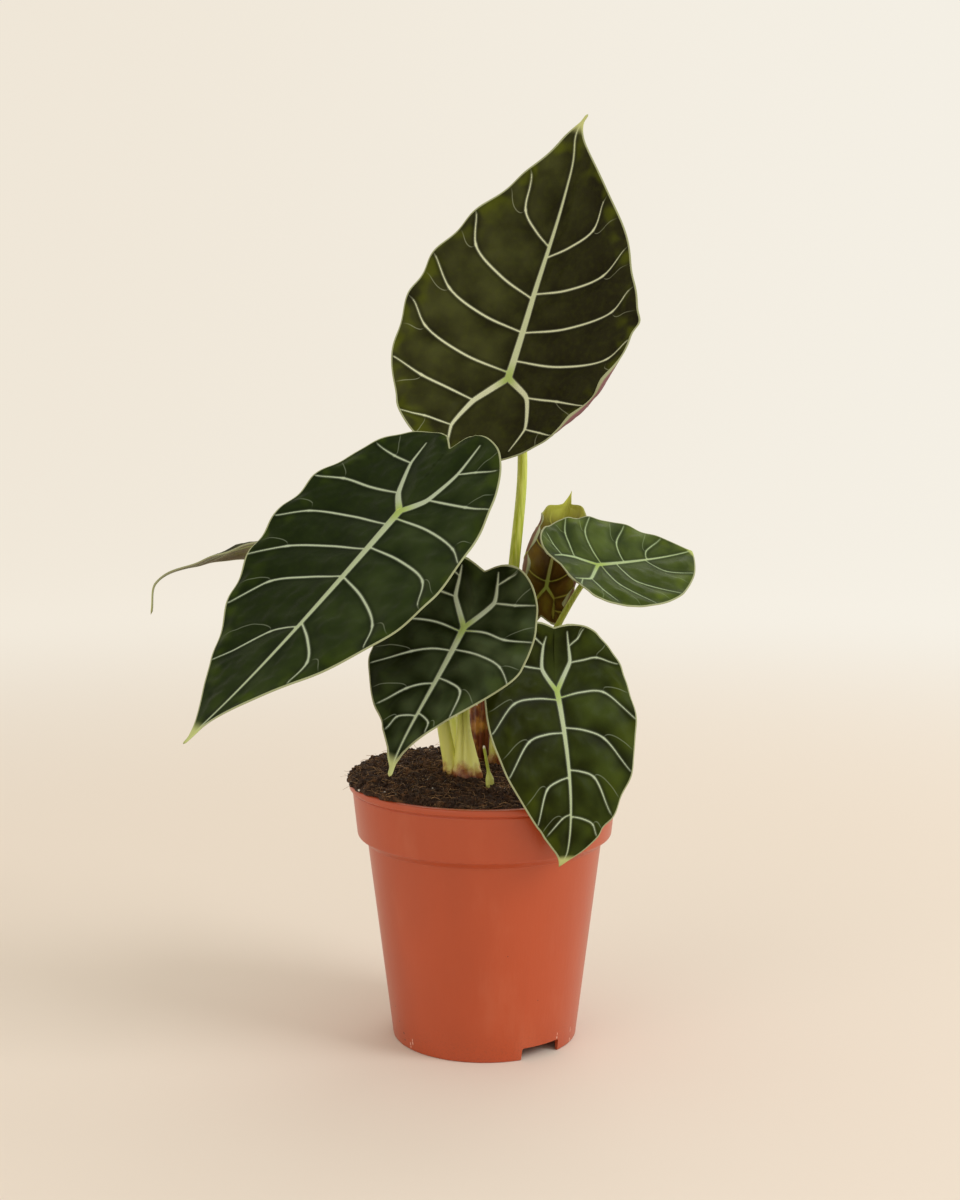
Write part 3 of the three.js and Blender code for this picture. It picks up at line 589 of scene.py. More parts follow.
def blade_point(leaf, x, y):
    """The blade's middle surface in its own axes for flat points x across and y towards the tip."""
    side = (x >= 0).astype(int)
    width, fold, cup = [np.array(leaf[key], float)[side] for key in ("half_width", "fold", "cup")]
    lobe = max(leaf["lobe"])
    tipward = bent_strip(lambda t: leaf["bend"] * t + leaf["curl"] * t ** 4,
                         np.maximum(y, 0) / leaf["length"], leaf["length"])
    lobeward = bent_strip(lambda t: leaf["lobe_bend"] * t, np.maximum(-y, 0) / lobe, lobe)
    along, up, angle = [np.where(y >= 0, a, b) for a, b in zip(tipward, lobeward)]
    share = np.abs(x) / width
    steps = (np.arange(BEND_STEPS) + 0.5) / BEND_STEPS
    at = share[:, None] * steps
    level = (leaf["fold"][1] - leaf["fold"][0]) / 2 * np.where(side == 1, 1, -1)
    easing = FOLD_EASING[0] + (FOLD_EASING[1] - FOLD_EASING[0]) * smooth(-y, 0, 12)
    folded = smooth(at * width[:, None] / easing[:, None], 0, 1)
    slope = np.radians(level[:, None] + (fold - level)[:, None] * folded + cup[:, None] * at)
    stretched = share * width / BEND_STEPS
    out = np.cos(slope).sum(1) * stretched
    rise = np.sin(slope).sum(1) * stretched
    way = np.where(y >= 0, 1, -1)
    return np.stack([
        np.sign(x) * out,
        way * (along - np.sin(angle) * rise),
        up + np.cos(angle) * rise,
    ], axis=1)


def blade_normal(leaf, x, y, step=0.4):
    across = blade_point(leaf, x + step, y) - blade_point(leaf, x - step, y)
    along = blade_point(leaf, x, y + step) - blade_point(leaf, x, y - step)
    normal = np.cross(across, along)
    return normal / np.linalg.norm(normal, axis=1)[:, None]


def leaf_matrix(leaf):
    """From the blade's own axes to the part, in metres."""
    compass, tilt, clock = [math.radians(leaf[key]) for key in ("face", "tilt", "clock")]
    out = Vector((math.cos(tilt) * math.cos(compass), math.cos(tilt) * math.sin(compass), math.sin(tilt)))
    up = Vector((-math.sin(tilt) * math.cos(compass), -math.sin(tilt) * math.sin(compass), math.cos(tilt)))
    tip = math.cos(clock) * up + math.sin(clock) * up.cross(out)
    turn = Matrix((tip.cross(out), tip, out)).transposed().to_4x4()
    return Matrix.Translation(from_axis(leaf["joint"])) @ turn @ Matrix.Scale(MM, 4)


def from_axis(point):
    return POT_AXIS + Vector(point) * MM


def margin_point(leaf, side, m):
    """The flat margin of one half: 0 tip, 1 widest place, 2 lobe's end, 3 in the sinus."""
    width, widest, lobe = leaf["half_width"][side], leaf["widest"][side], leaf["lobe"][side]
    inset = leaf["lobe_inset"] * width
    share = np.clip(1 - (1 - np.clip(m, 0, 1)) ** leaf["belly"][side], 0, 1)
    from_tip = m * (leaf["length"] - widest)
    tail = TAIL_HALF_WIDTH * np.sqrt(np.clip(from_tip, 0, 1))
    tipward = np.stack([np.maximum(width * share ** leaf["taper"][side], tail), leaf["length"] - from_tip])
    shoulder = (width, widest - CURVE_BULGE * (widest + lobe))
    heel = (inset + CURVE_BULGE * (width - inset), -lobe)
    flank = bezier((width, widest), shoulder, heel, (inset, -lobe), np.clip(m - 1, 0, 1))
    toe = (inset * (1 - CURVE_BULGE), -lobe)
    throat = (inset * 0.25, -leaf["sinus"] - 0.35 * (lobe - leaf["sinus"]))
    inner = bezier((inset, -lobe), toe, throat, (0, -leaf["sinus"]), np.clip(m - 2, 0, 1))
    return np.where(m <= 1, tipward, np.where(m <= 2, flank, inner))


def spine_point(leaf, side, u):
    """The path that the veins leave from: 0 tip, 1 joint, 2 and 3 the basal rib's end, 4 joint, 5 sinus."""
    bends = np.array([(0, 0), *leaf["ribs"][side]]) * (leaf["half_width"][side], leaf["lobe"][side])
    along = np.minimum(u, 5 - u)
    rib_x, rib_y = [curved(along, RIB_STOPS, bends[:, axis]) for axis in (0, 1)]
    midrib_y = leaf["length"] * (1 - u)
    sinus_y = -leaf["sinus"] * (u - 4)
    return np.stack([np.where((u > 1) & (u < 4), rib_x, 0),
                     np.where(u <= 1, midrib_y, np.where(u >= 4, sinus_y, rib_y))])


def path_length(points):
    return np.hypot(*np.diff(points, axis=1)).sum()


def along_line(line, f):
    """The places on a flat line at shares of its length."""
    share = np.concatenate([[0], np.cumsum(np.hypot(*np.diff(line, axis=1)))])
    return np.stack([np.interp(f * share[-1], share, axis) for axis in line])


def margin_ahead(start, direction, margin):
    """The number of the margin's stretch that a straight way from a place inside meets first."""
    away = margin[:, :-1] - start[:, None]
    stretch = np.diff(margin, axis=1)
    turn = direction[0] * stretch[1] - direction[1] * stretch[0]
    turn = np.where(np.abs(turn) < 1e-9, 1e-9, turn)
    reach = (away[0] * stretch[1] - away[1] * stretch[0]) / turn
    share = (away[0] * direction[1] - away[1] * direction[0]) / turn
    return np.argmin(np.where((reach > 0) & (share >= 0) & (share <= 1), reach, 1e3))


def fan_columns(leaf, side):
    """The places on the spine path and on the margin of the columns that turn about the basal rib's end."""
    inner = np.linspace(2, 3, 60)
    x = margin_point(leaf, side, inner)[0]
    rib_end = leaf["ribs"][side][-1][0] * leaf["half_width"][side]
    below = max(FAN_INNER[0], np.interp(0.7 * rib_end, x[::-1], inner[::-1]))
    return (2, FAN_OUTER), (3, below), (4, below + FAN_INNER[1] * (3 - below)), (5, 3)


def key_columns(leaf, side):
    """The columns that follow a vein: place on spine path and margin, line, shares of bend and end."""
    width, length, lobe = leaf["half_width"][side], leaf["length"], leaf["lobe"][side]
    fine = np.linspace(0, 3, 1200)
    margin = margin_point(leaf, side, fine)
    veins = [(1 - root, (bx * width, by * length), (ex * width, ey * length))
             for root, bx, by, ex, ey in leaf["veins"][side]]
    veins += [(u, (bx * width, by * lobe), (ex * width, ey * lobe))
              for u, (bx, by, ex, ey) in zip(RIB_STOPS[1:3], leaf["lobe_veins"][side])]
    keys = [(0, 0, None, 0, 0)]
    for u, bend, end in sorted(veins):
        root = spine_point(leaf, side, np.array([u]))[:, 0]
        bend, end = np.array(bend), np.array(end)
        nearest = margin[:, np.argmin(np.hypot(*(margin - end[:, None])))]
        direction = (end - bend) / math.dist(end, bend) * VEIN_AHEAD
        direction = direction + (nearest - end) / math.dist(nearest, end)
        met = margin_ahead(end, direction, margin)
        sag = (VEIN_SAG if u < 1 else 0) * math.dist(root, bend)
        middle = (root + bend) / 2 + np.array((0.3, -1)) * sag
        line = smooth_path([root, middle, bend, end, margin[:, met]], 60).T
        last = math.dist(end, margin[:, met])
        shares = 1 - (last + math.dist(bend, end)) / path_length(line), 1 - last / path_length(line)
        keys.append((u, fine[met], line, *shares))
    return keys + [(u, m, None, 0, 0) for u, m in fan_columns(leaf, side)]


def grid_columns(leaf, step):
    """All columns' places on the spine path, the same for both halves so that these meet along the midrib."""
    ends = [[key[:2] for key in key_columns(leaf, side)] for side in (0, 1)]
    stops = sorted({1, *(u for half in ends for u, _ in half)})
    columns = [[3, 5]]
    for u0, u1 in zip(stops, stops[1:]):
        if u0 == 3:
            continue
        fine = np.linspace(u0, u1, 30)
        lengths = [path_length(spine_point(leaf, side, fine)) for side in (0, 1)]
        lengths += [path_length(margin_point(leaf, side, np.interp(fine, *zip(*ends[side]))))
                    for side in (0, 1)]
        count = max(2, math.ceil(max(lengths) / step))
        columns.append(u0 + (u1 - u0) * np.arange(count) / count)
    u = np.concatenate(columns)
    return np.sort(np.concatenate([u, 5 - u[(u > 1) & (u < 2)]]))


def row_shares(span, middle):
    """Shares of the way along a column, close together beside the rib and along the margin."""
    near = NEAR_ROWS * min(1, 0.3 * span / NEAR_ROWS[-1])
    edge = EDGE_ROWS * min(1, 0.3 * span / EDGE_ROWS[0])
    between = np.linspace(near[-1], span - edge[0], middle + 2)[1:-1]
    return np.concatenate([near, between, span - edge]) / span


def vein_paths(leaf, side):
    """The ribs and veins of one half as flat lines with their half widths."""
    wide = leaf["midrib"]
    u = np.linspace(0, 1, 24)
    paths = [(spine_point(leaf, side, u), 0.15 + (wide - 0.15) * u ** 1.25)]
    u = np.linspace(1, 2, 18)
    paths.append((spine_point(leaf, side, u), wide * np.interp(u, RIB_STOPS, RIB_WIDTHS)))
    for u, _, line, bend, end in key_columns(leaf, side):
        if line is None:
            continue
        f = np.sort([*np.linspace(0, 0.15, 6), *np.linspace(0.2, 1, 17), bend - 0.03, bend, bend + 0.04, end])
        swelling = 0.095 * smooth(f, 0, 0.25) - 0.16 * smooth(f / end, 0.5, 1.05)
        foot = 0.12 * np.exp(-f * 40)
        spur = 0.45 * SPUR * np.exp(-((f - bend) / 0.02) ** 2)
        half = wide * (1 if 0.5 < u < 1.5 else 0.8) * (0.14 + swelling + foot + spur)
        at_end = np.interp(end, f, half)
        fading = np.clip((f - end) / (1.001 - end) * 1.7, 0, 1)
        paths.append((along_line(line, f), np.where(f > end, at_end - (at_end + 0.4) * fading, half)))
    return paths


def distance_to_paths(x, y, paths):
    """The signed distance from flat points to the nearest line's edge."""
    best = np.full(x.shape, 1e3)
    for points, half in paths:
        for k in range(points.shape[1] - 1):
            ax, ay = points[:, k]
            dx, dy = points[:, k + 1] - points[:, k]
            length = max(dx * dx + dy * dy, 1e-9)
            t = np.clip(((x - ax) * dx + (y - ay) * dy) / length, 0, 1)
            gap = np.hypot(x - ax - dx * t, y - ay - dy * t) - (half[k] + (half[k + 1] - half[k]) * t)
            best = np.minimum(best, gap)
    return best


def margin_wave(leaf, side, m):
    """The margin's rise and fall: up where a vein ends and down between, calm at the tip and in the sinus."""
    ends = [key[1] for key in key_columns(leaf, side)[1:] if key[1] < 1.9]
    turn = np.interp(m, ends, np.arange(len(ends)))
    calm = 1 - smooth(m, 2.2, 2.5)
    wave = np.cos(2 * np.pi * turn) * smooth(m, 0, 0.25)
    wave = np.where(m > ends[-1], np.cos(np.pi * smooth(m, ends[-1], 2.2)) * calm, wave)
    finer = 0.3 * np.sin(31 * m + 4 * side + leaf["length"]) * smooth(m, 0.1, 0.4) * calm
    return leaf["wave"] * (wave + finer)


def half_blade(leaf, side, u, step):
    """One half's grid: flat places and the numbers that the shape, the relief and the colours read."""
    keys = key_columns(leaf, side)
    key_u, key_m = np.array([key[:2] for key in keys]).T
    m = np.interp(u, key_u, key_m)
    panel = np.interp(u, key_u, np.arange(len(keys)))
    root = spine_point(leaf, side, u)
    edge = margin_point(leaf, side, m)
    span = np.maximum(np.hypot(*(edge - root)), 1e-6)
    middle = max(4, math.ceil((span.max() - 4) / step))
    f = np.stack([row_shares(value, middle) for value in span])
    sway = np.zeros((len(keys), 2, len(u), f.shape[1]))
    for number, (_, _, line, _, _) in enumerate(keys):
        if line is not None:
            straight = line[:, :1, None] + (line[:, -1:, None] - line[:, :1, None]) * f
            sway[number] = along_line(line, f) - straight
    before = np.minimum(panel.astype(int), len(keys) - 2)
    t = (panel - before)[:, None]
    column = np.arange(len(u))
    after = np.where(before[:, None] == 0, t ** 2.2, t)
    point = root[:, :, None] + (edge - root)[:, :, None] * f
    point += (1 - t) * sway[before, :, column].transpose(1, 0, 2)
    point += after * sway[before + 1, :, column].transpose(1, 0, 2)
    panel_width = np.hypot(*np.gradient(point, axis=1)) / np.maximum(np.gradient(panel), 1e-4)[:, None]
    bends = np.array([key[3] for key in keys])[before][:, None]
    loop = (t - LOOP_SPREAD * np.sqrt(np.clip((f - bends) / (1 - bends), 0, 1))) * panel_width
    loop_shown = smooth(f, bends, bends + 0.03) * (1 - smooth(f, 0.86, 1)) * (bends > 0)
    rippled = smooth(panel, 0.5, 1.3) * (1 - smooth(u, 2, 2.6))
    full = np.ones(f.shape)
    m = m[:, None] * full
    x, y = point
    outline = margin_point(leaf, side, np.linspace(0, 3, 300))
    return {
        "x": x, "y": y, "m": m, "half": side * full,
        "panel": panel[:, None] * full, "reach": f * span[:, None],
        "vein": distance_to_paths(x, y, vein_paths(leaf, side)),
        "rim": distance_to_paths(x, y, [(outline, np.zeros(outline.shape[1]))]),
        "loop": loop, "loop_shown": loop_shown * full, "rippled": rippled[:, None] * full,
        "wave": margin_wave(leaf, side, m) * smooth(f, 0.72, 1.02),
    }


def flat_blade(leaf, step):
    """Both halves as one flat grid without double points: its numbers, its margin points and its faces."""
    columns_at = grid_columns(leaf, step)
    halves, on_margin, faces = [], [], []
    start = 0
    for side, sign in enumerate((-1, 1)):
        half = half_blade(leaf, side, columns_at, step)
        half["x"] = half["x"] * sign
        shape = half["x"].shape
        at_margin = np.zeros(shape, bool)
        at_margin[:, -1] = True
        index = start + np.arange(at_margin.size).reshape(shape)
        a, b, c, d = index[:-1, :-1], index[1:, :-1], index[1:, 1:], index[:-1, 1:]
        order = (a, b, c, d) if sign > 0 else (a, d, c, b)
        halves.append(half)
        on_margin.append(at_margin.ravel())
        faces.append(np.stack([part.ravel() for part in order], axis=1))
        start += at_margin.size
    values = {key: np.concatenate([half[key].ravel() for half in halves]) for key in halves[0]}
    cells = np.round(np.stack([values["x"], values["y"]], axis=1) * 1000).astype(np.int64)
    _, first, merged = np.unique(cells, axis=0, return_index=True, return_inverse=True)
    merged = merged.reshape(-1)
    edge = np.zeros(len(first), bool)
    np.logical_or.at(edge, merged, np.concatenate(on_margin))
    quads = merged[np.concatenate(faces)].tolist()
    corners = [[v for k, v in enumerate(quad) if v != quad[k - 1]] for quad in quads]
    return ({key: part[first] for key, part in values.items()}, edge,
            [face for face in corners if len(set(face)) == len(face) > 2])


def swayed(leaf, values):
    """The flat places with the leaf's own waist, dents, scallops, sways and hooked tip."""
    x, y, half = [values[key] for key in ("x", "y", "half")]
    length = leaf["length"]
    tail, aside, further = leaf["tail"]
    hook = np.clip(1 - (length - y) / (1.4 * tail), 0, 1) ** 2
    lean = sum(out * stretch_share(leaf, y, *ends) for *ends, out in leaf["sways"])
    waist, narrowing = leaf["waist"]
    x = x * (1 - narrowing * smooth(y, length - waist, length - 0.45 * waist))
    for side, at, spread, out in leaf["dents"]:
        near = (half == side) * np.exp(-((values["m"] - at) / spread) ** 2) * smooth(values["rim"], 18, 0)
        x = x + (out if side else -out) * near
    x = x + SCALLOP * np.where(half == 0, -1, 1) * values["wave"]
    return x + aside * hook + lean, y + further * hook ** 2


def stretch_share(leaf, y, start, full, fade, gone):
    """1 on a stretch of the leaf's length, 0 off it, smooth between."""
    high = np.clip(y / leaf["length"], 0, 1)
    return smooth(high, start, full) * (1 - smooth(high, fade, gone))


def rolled_margin(leaf, place, normal, x, y, m, rim, side):
    """Turns strips of the margin up and over, where the leaf has them rolled: they show their lower face."""
    for which, start, end, width, degrees in leaf["rolls"]:
        strength = smooth(m, start, start + 0.25) * (1 - smooth(m, end - 0.25, end)) * (side == which)
        full_turn = np.radians(degrees) * strength + 1e-6
        arc = np.clip(width - rim, 0, width)
        turn = full_turn * arc / width
        tangent = margin_point(leaf, which, m + 0.02) - margin_point(leaf, which, m - 0.02)
        out = np.stack([-tangent[1], tangent[0]]) / np.maximum(np.hypot(*tangent), 1e-6) * 0.3
        out[0] *= 1 if which else -1
        away = blade_point(leaf, x + out[0], y + out[1]) - blade_point(leaf, x - out[0], y - out[1])
        away /= np.maximum(np.linalg.norm(away, axis=1), 1e-6)[:, None]
        bend_radius = width / full_turn
        place = place + away * (bend_radius * np.sin(turn) - arc)[:, None]
        place = place + normal * (bend_radius * (1 - np.cos(turn)))[:, None]
        normal = normal * np.cos(turn)[:, None] - away * np.sin(turn)[:, None]
    return place, normal


def blade_mesh(name, leaf, step):
    """The blade as a closed skin on its middle surface, with the numbers that the relief and colours read."""
    values, edge, faces = flat_blade(leaf, step)
    count = len(edge)
    inner = np.nonzero(~edge)[0]
    lower = np.arange(count)
    lower[inner] = count + np.arange(len(inner))
    underneath = [lower[face[::-1]].tolist() for face in faces]
    both = np.concatenate([np.arange(count), inner])
    values = {key: part[both] for key, part in values.items()}
    x, y = swayed(leaf, values)
    *ends, up = leaf["arch"]
    normal = blade_normal(leaf, x, y)
    place = blade_point(leaf, x, y) + normal * (up * stretch_share(leaf, values["y"], *ends))[:, None]
    place, normal = rolled_margin(leaf, place, normal, x, y, values["m"], values["rim"], values["half"])
    matrix = np.array(leaf_matrix(leaf))
    mesh = bpy.data.meshes.new(name)
    mesh.from_pydata((place @ matrix[:3, :3].T + matrix[:3, 3]).tolist(), [], faces + underneath)
    values["face_side"] = np.where(edge[both], 0, 1)
    values["face_side"][count:] = -1
    values["joint"] = np.hypot(x, y)
    values["tip"] = (leaf["length"] - y) / leaf["tail"][0]
    for key in ("vein", "rim", "panel", "reach", "loop", "loop_shown", "rippled", "wave", "face_side",
                "joint", "tip"):
        store(mesh, key, values[key])
    vectors = {"way": normal @ matrix[:3, :3].T / MM, "flat": np.stack([x, y, np.zeros(len(x))], axis=1)}
    for key, part in vectors.items():
        attribute = mesh.attributes.new(key, "FLOAT_VECTOR", "POINT")
        attribute.data.foreach_set("vector", part.astype(np.float32).ravel())
    slots = np.zeros(len(mesh.polygons), np.int32)
    slots[len(faces):] = 1
    mesh.polygons.foreach_set("material_index", slots)
    return smooth_shaded(mesh)


# Geometry Nodes trees

def geometry_tree(name, sockets):
    """A tree with its inputs by name, from names and kinds of sockets."""
    tree = bpy.data.node_groups.new(name, "GeometryNodeTree")
    for label, kind in {"Geometry": "Geometry", **sockets}.items():
        tree.interface.new_socket(label, in_out="INPUT", socket_type=f"NodeSocket{kind}")
    tree.interface.new_socket("Geometry", in_out="OUTPUT", socket_type="NodeSocketGeometry")
    start = tree.nodes.new("NodeGroupInput")
    return tree, {socket.name: Value(tree, socket) for socket in start.outputs}


def close_tree(geometry, material=None):
    """Ends a tree: its instances made real, and one material set where it is given."""
    geometry = add(geometry.tree, "GeometryNodeRealizeInstances", {"Geometry": geometry})
    if material is not None:
        geometry = with_material(geometry, material)
    add(geometry.tree, "NodeGroupOutput", {0: geometry})
    return geometry.tree


def with_material(geometry, material):
    return add(geometry.tree, "GeometryNodeSetMaterial", {"Geometry": geometry, "Material": material})


def moved(geometry, offset):
    return add(geometry.tree, "GeometryNodeSetPosition", {"Geometry": geometry, "Offset": offset})


def run_tree(name, mesh, tree, values):
    """Runs a tree on a mesh with its inputs set by identifier, and gives the result as a plain mesh."""
    holder = bpy.data.objects.new(name, mesh)
    bpy.context.scene.collection.objects.link(holder)
    modifier = holder.modifiers.new(name, "NODES")
    modifier.node_group = tree
    identifiers = {item.name: item.identifier for item in tree.interface.items_tree if item.in_out == "INPUT"}
    for label, value in values.items():
        modifier[identifiers[label]] = value
    return plain_mesh(holder)


def at_points(tree, name, kind="FLOAT"):
    return add(tree, "GeometryNodeInputNamedAttribute", {"Name": name}, data_type=kind)


def between(share, first, second):
    return add(share.tree, "ShaderNodeMix", {0: share, 2: first, 3: second}, data_type="FLOAT")


def relief_tree():
    """Raises a blade's skin off its middle surface: thickness, veins, quilting, ripples, margin wave."""
    tree, given = geometry_tree("Blade relief", dict.fromkeys(
        ("Thickness", "Quilting", "Ripples", "Undulation", "Vein rise", "Midrib depth", "Midrib"), "Float"))
    vein, rim, side, reach, panel, rippled, wave = [
        at_points(tree, name) for name in ("vein", "rim", "face_side", "reach", "panel", "rippled", "wave")]
    open_blade = map_range(vein, 0, 8, ease="SMOOTHERSTEP") * map_range(rim, 0, 6, ease="SMOOTHSTEP")
    folds = noise(ripple_place(reach, panel, 0.22), 1, 1, 0.5)
    near_rib = map_range(reach, 4, 34, 1.3, 0.45)
    ripples = (folds - 0.5) * given["Ripples"] * rippled * open_blade * near_rib
    swells = (noise(at_points(tree, "flat", "FLOAT_VECTOR"), 0.13, 1, 0.5) - 0.5) * given["Undulation"]
    lift = open_blade * given["Quilting"] + ripples + swells * open_blade + wave * MM
    crest = (vein.math("MINIMUM", 0) * -1 / given["Midrib"]).math("MINIMUM", 1).math("POWER", 0.6)
    ridge = between(side.math("GREATER_THAN", 0), crest * given["Midrib depth"], crest * given["Vein rise"])
    roundness = (1 - (1 - map_range(rim, 0, 0.7)).math("POWER", 2)).math("SQRT")
    skin = side * (ridge + given["Thickness"] * 0.5) * roundness
    return close_tree(moved(given["Geometry"], times(at_points(tree, "way", "FLOAT_VECTOR"), lift + skin)))


def petiole_tree():
    """A round stem along a line: thick at the soil, slimmer over its swelling, thinnest at the blade."""
    tree, given = geometry_tree("Petiole", {**dict.fromkeys((
        "Base radius", "Slim radius", "Top radius", "Soil height", "Swelling height", "Torn", "Groove",
        "Groove line"), "Float"), "Material": "Material"})
    line = add(tree, "GeometryNodeMeshToCurve", {"Mesh": given["Geometry"]})
    along = add(tree, "GeometryNodeSplineParameter", output="Factor")
    place = add(tree, "GeometryNodeInputPosition")
    x, _, height = axes(place)
    soil = given["Soil height"]
    slimming = map_range(height, soil, soil + given["Swelling height"], ease="SMOOTHSTEP")
    slim = between(along, given["Slim radius"], given["Top radius"])
    radius = between(slimming, given["Base radius"], slim) * at_points(tree, "taper")
    line = add(tree, "GeometryNodeStoreNamedAttribute", {"Geometry": line, "Name": "along", "Value": along},
               data_type="FLOAT", domain="POINT")
    line = add(tree, "GeometryNodeSetCurveRadius", {"Curve": line, "Radius": radius})
    ring = add(tree, "GeometryNodeCurvePrimitiveCircle", {"Resolution": 48, "Radius": 1})
    own_radius = add(tree, "GeometryNodeInputRadius")
    skin = add(tree, "GeometryNodeCurveToMesh", {
        "Curve": line, "Profile Curve": ring, "Scale": own_radius, "Fill Caps": True})
    at_soil = map_range(height, soil + 9 * MM, soil, ease="SMOOTHSTEP")
    stretched = add(tree, "ShaderNodeVectorMath", {0: place, 1: (420, 420, 150)}, operation="MULTIPLY")
    rags = (noise(stretched, 1, 3, 0.5) - 0.42) * given["Torn"] * at_soil
    valley = map_range(abs(x - given["Groove line"]), 1.3 * MM, 0, ease="SMOOTHSTEP") * (1 - at_soil)
    push = rags - valley * given["Groove"]
    skin = moved(skin, times(add(tree, "GeometryNodeInputNormal"), push))
    return close_tree(add(tree, "GeometryNodeSetShadeSmooth", {"Geometry": skin}), given["Material"])


def soil_cover_tree():
    """Roughens the soil's top and scatters crumbs, perlite and peat fibres on it."""
    tree, given = geometry_tree("Soil cover", {
        "Crumb size": "Float", "Crumb density": "Float", "Perlite density": "Float", "Fibre density": "Float",
        "Seed": "Int", "Soil": "Material", "Perlite": "Material", "Fibre": "Material"})
    top = at_points(tree, "top")
    place = add(tree, "GeometryNodeInputPosition")
    rise = (noise(place, 150, 6, 0.7) - 0.5) * (7.5 * MM) * top
    bed = moved(given["Geometry"], add(tree, "ShaderNodeCombineXYZ", {2: rise}))
    bed = with_material(bed, given["Soil"])
    clumping = map_range(noise(place, 60, 2, 0.5), 0.35, 0.65, 0.45, 1.6)

    def scatter(density, seed_step, instance, size, spread, lean, material):
        seed = given["Seed"] + seed_step
        places = add(tree, "GeometryNodeDistributePointsOnFaces", {
            "Mesh": bed, "Selection": top.math("GREATER_THAN", 0.4), "Density": density, "Seed": seed},
            distribute_method="RANDOM")
        shape = add(tree, "FunctionNodeRandomValue", {
            0: (spread[0],) * 3, 1: (spread[1],) * 3, "Seed": seed}, data_type="FLOAT_VECTOR")
        turn = add(tree, "FunctionNodeRandomValue", {
            0: (-lean, -lean, 0), 1: (lean, lean, 6.28), "Seed": seed + 50}, data_type="FLOAT_VECTOR")
        placed = add(tree, "GeometryNodeInstanceOnPoints", {
            "Points": places, "Instance": instance, "Rotation": turn, "Scale": times(shape, size)})
        return with_material(placed, material)

    grains = [add(tree, "GeometryNodeMeshIcoSphere", {"Radius": 1, "Subdivisions": count})
              for count in (1, 2)]
    crumbs = scatter(given["Crumb density"] * clumping, 1, grains[0], given["Crumb size"], (0.35, 2.1), 1.6,
                     given["Soil"])
    perlite = scatter(given["Perlite density"], 2, grains[1], 0.45 * MM, (0.6, 1.3), 1.6, given["Perlite"])
    thread = add(tree, "GeometryNodeCurvePrimitiveCircle", {"Resolution": 3, "Radius": 0.024})
    strands = []
    for number, (reach, arch, sway) in enumerate([(1, 0.35, 0.2), (0.8, 0.1, -0.5), (1.3, 0.5, 0.9)]):
        bow = add(tree, "GeometryNodeCurveQuadraticBezier", {
            "Resolution": 6, "Start": (-reach, 0, -0.08), "Middle": (0, sway, arch),
            "End": (reach, 0, -0.05)})
        fibre = add(tree, "GeometryNodeCurveToMesh", {"Curve": bow, "Profile Curve": thread})
        strands.append(scatter(given["Fibre density"] / 3, 3 + number, fibre, 3.2 * MM, (0.45, 1.5), 0.5,
                               given["Fibre"]))
    joined = add(tree, "GeometryNodeJoinGeometry")
    for part in (bed, crumbs, perlite, *strands):
        tree.links.new(part.socket, joined.socket.node.inputs[0])
    return close_tree(joined)


# Materials

def leaf_upper_material(name, colours, look, tip_reach):
    """The upper face: dark quilted panels with painted light in their middles, painted shade along the veins
    and painted highlights on their ripples; pale veins, a pale margin, a lime joint and a pale drip tip.
    """
    dark, bright, dusk, sunny, vein_colour = look
    material, tree = new_material(name)
    flat = flat_place(tree)
    across = axes(flat)[0]
    vein, rim, panel, reach, joint, tip, loop, loop_shown, rippled = named(
        tree, "vein", "rim", "panel", "reach", "joint", "tip", "loop", "loop_shown", "rippled")
    mottle = noise(flat, 0.35, 3, 0.5)
    fine = noise(flat, 2.2)
    green = mixed(band(noise(flat, 0.07, 1), 0.3, 0.75), dark, bright)
    # Painted light: the panels' middles, away from the veins and the margin, made brighter as if lit on their
    # swell
    green = mixed(band(vein, 1.5, 7) * band(rim, 1, 7) * 0.35, green, bright)
    green = mixed(band(across, -20, 30) * 0.75, green, dusk)
    lit = band(rim, 13, 2) * band(noise(flat, 0.09, 1), 0.46, 0.68)
    green = mixed(lit * 0.45, green, sunny)
    green = mixed(band(mottle, 0.4, 0.75) * 0.07, green, sunny)
    arcs = noise(ripple_place(reach, panel, 0.24), 1, 1, 0.35)
    open_blade = band(vein, 0.6, 3) * band(rim, 0.5, 3) * rippled
    # Painted highlights: faint brighter streaks along the ripple arcs, standing in for sheen on the wrinkles
    green = mixed(band(arcs, 0.45, 0.75) * open_blade * 0.08, green, bright)
    # Painted shade: the blade darkened close to each vein, where the sunken veins lie in shade
    green = mixed(band(vein, 2.4, 0.4) * 0.45, green, shade(dark, 0.45))
    green = mixed(band(abs(loop), 0.34, 0.1) * loop_shown * 0.19, green, vein_colour)
    soft_edge = vein + fine * 0.34
    green = mixed(band(soft_edge, 0.8, 0.2) * 0.2, green, vein_colour)
    pale = mixed(band(abs(across), 2.4, 1) * 0.4, vein_colour, tone(176, 190, 136))
    pale = mixed(band(joint, 9, 1) * 0.8, pale, colours.joint)
    pale = mixed(fine * 0.28, pale, bright)
    colour = mixed(band(soft_edge, 0.28, 0.04), green, pale)
    colour = mixed(band(rim + fine * 0.3, 0.95, 0.65), colour, colours.margin)
    colour = mixed(band(tip, tip_reach, tip_reach * 0.4), colour, blend(0.4, colours.tail, vein_colour))
    normal = bump(arcs * open_blade, 0.00012, bump(noise(flat, 3.2), 0.00005))
    finish_material(tree, {"Base Color": colour, "Roughness": mottle * 0.16 + 0.32, "Normal": normal,
                           "Specular IOR Level": 0.04})
    return material


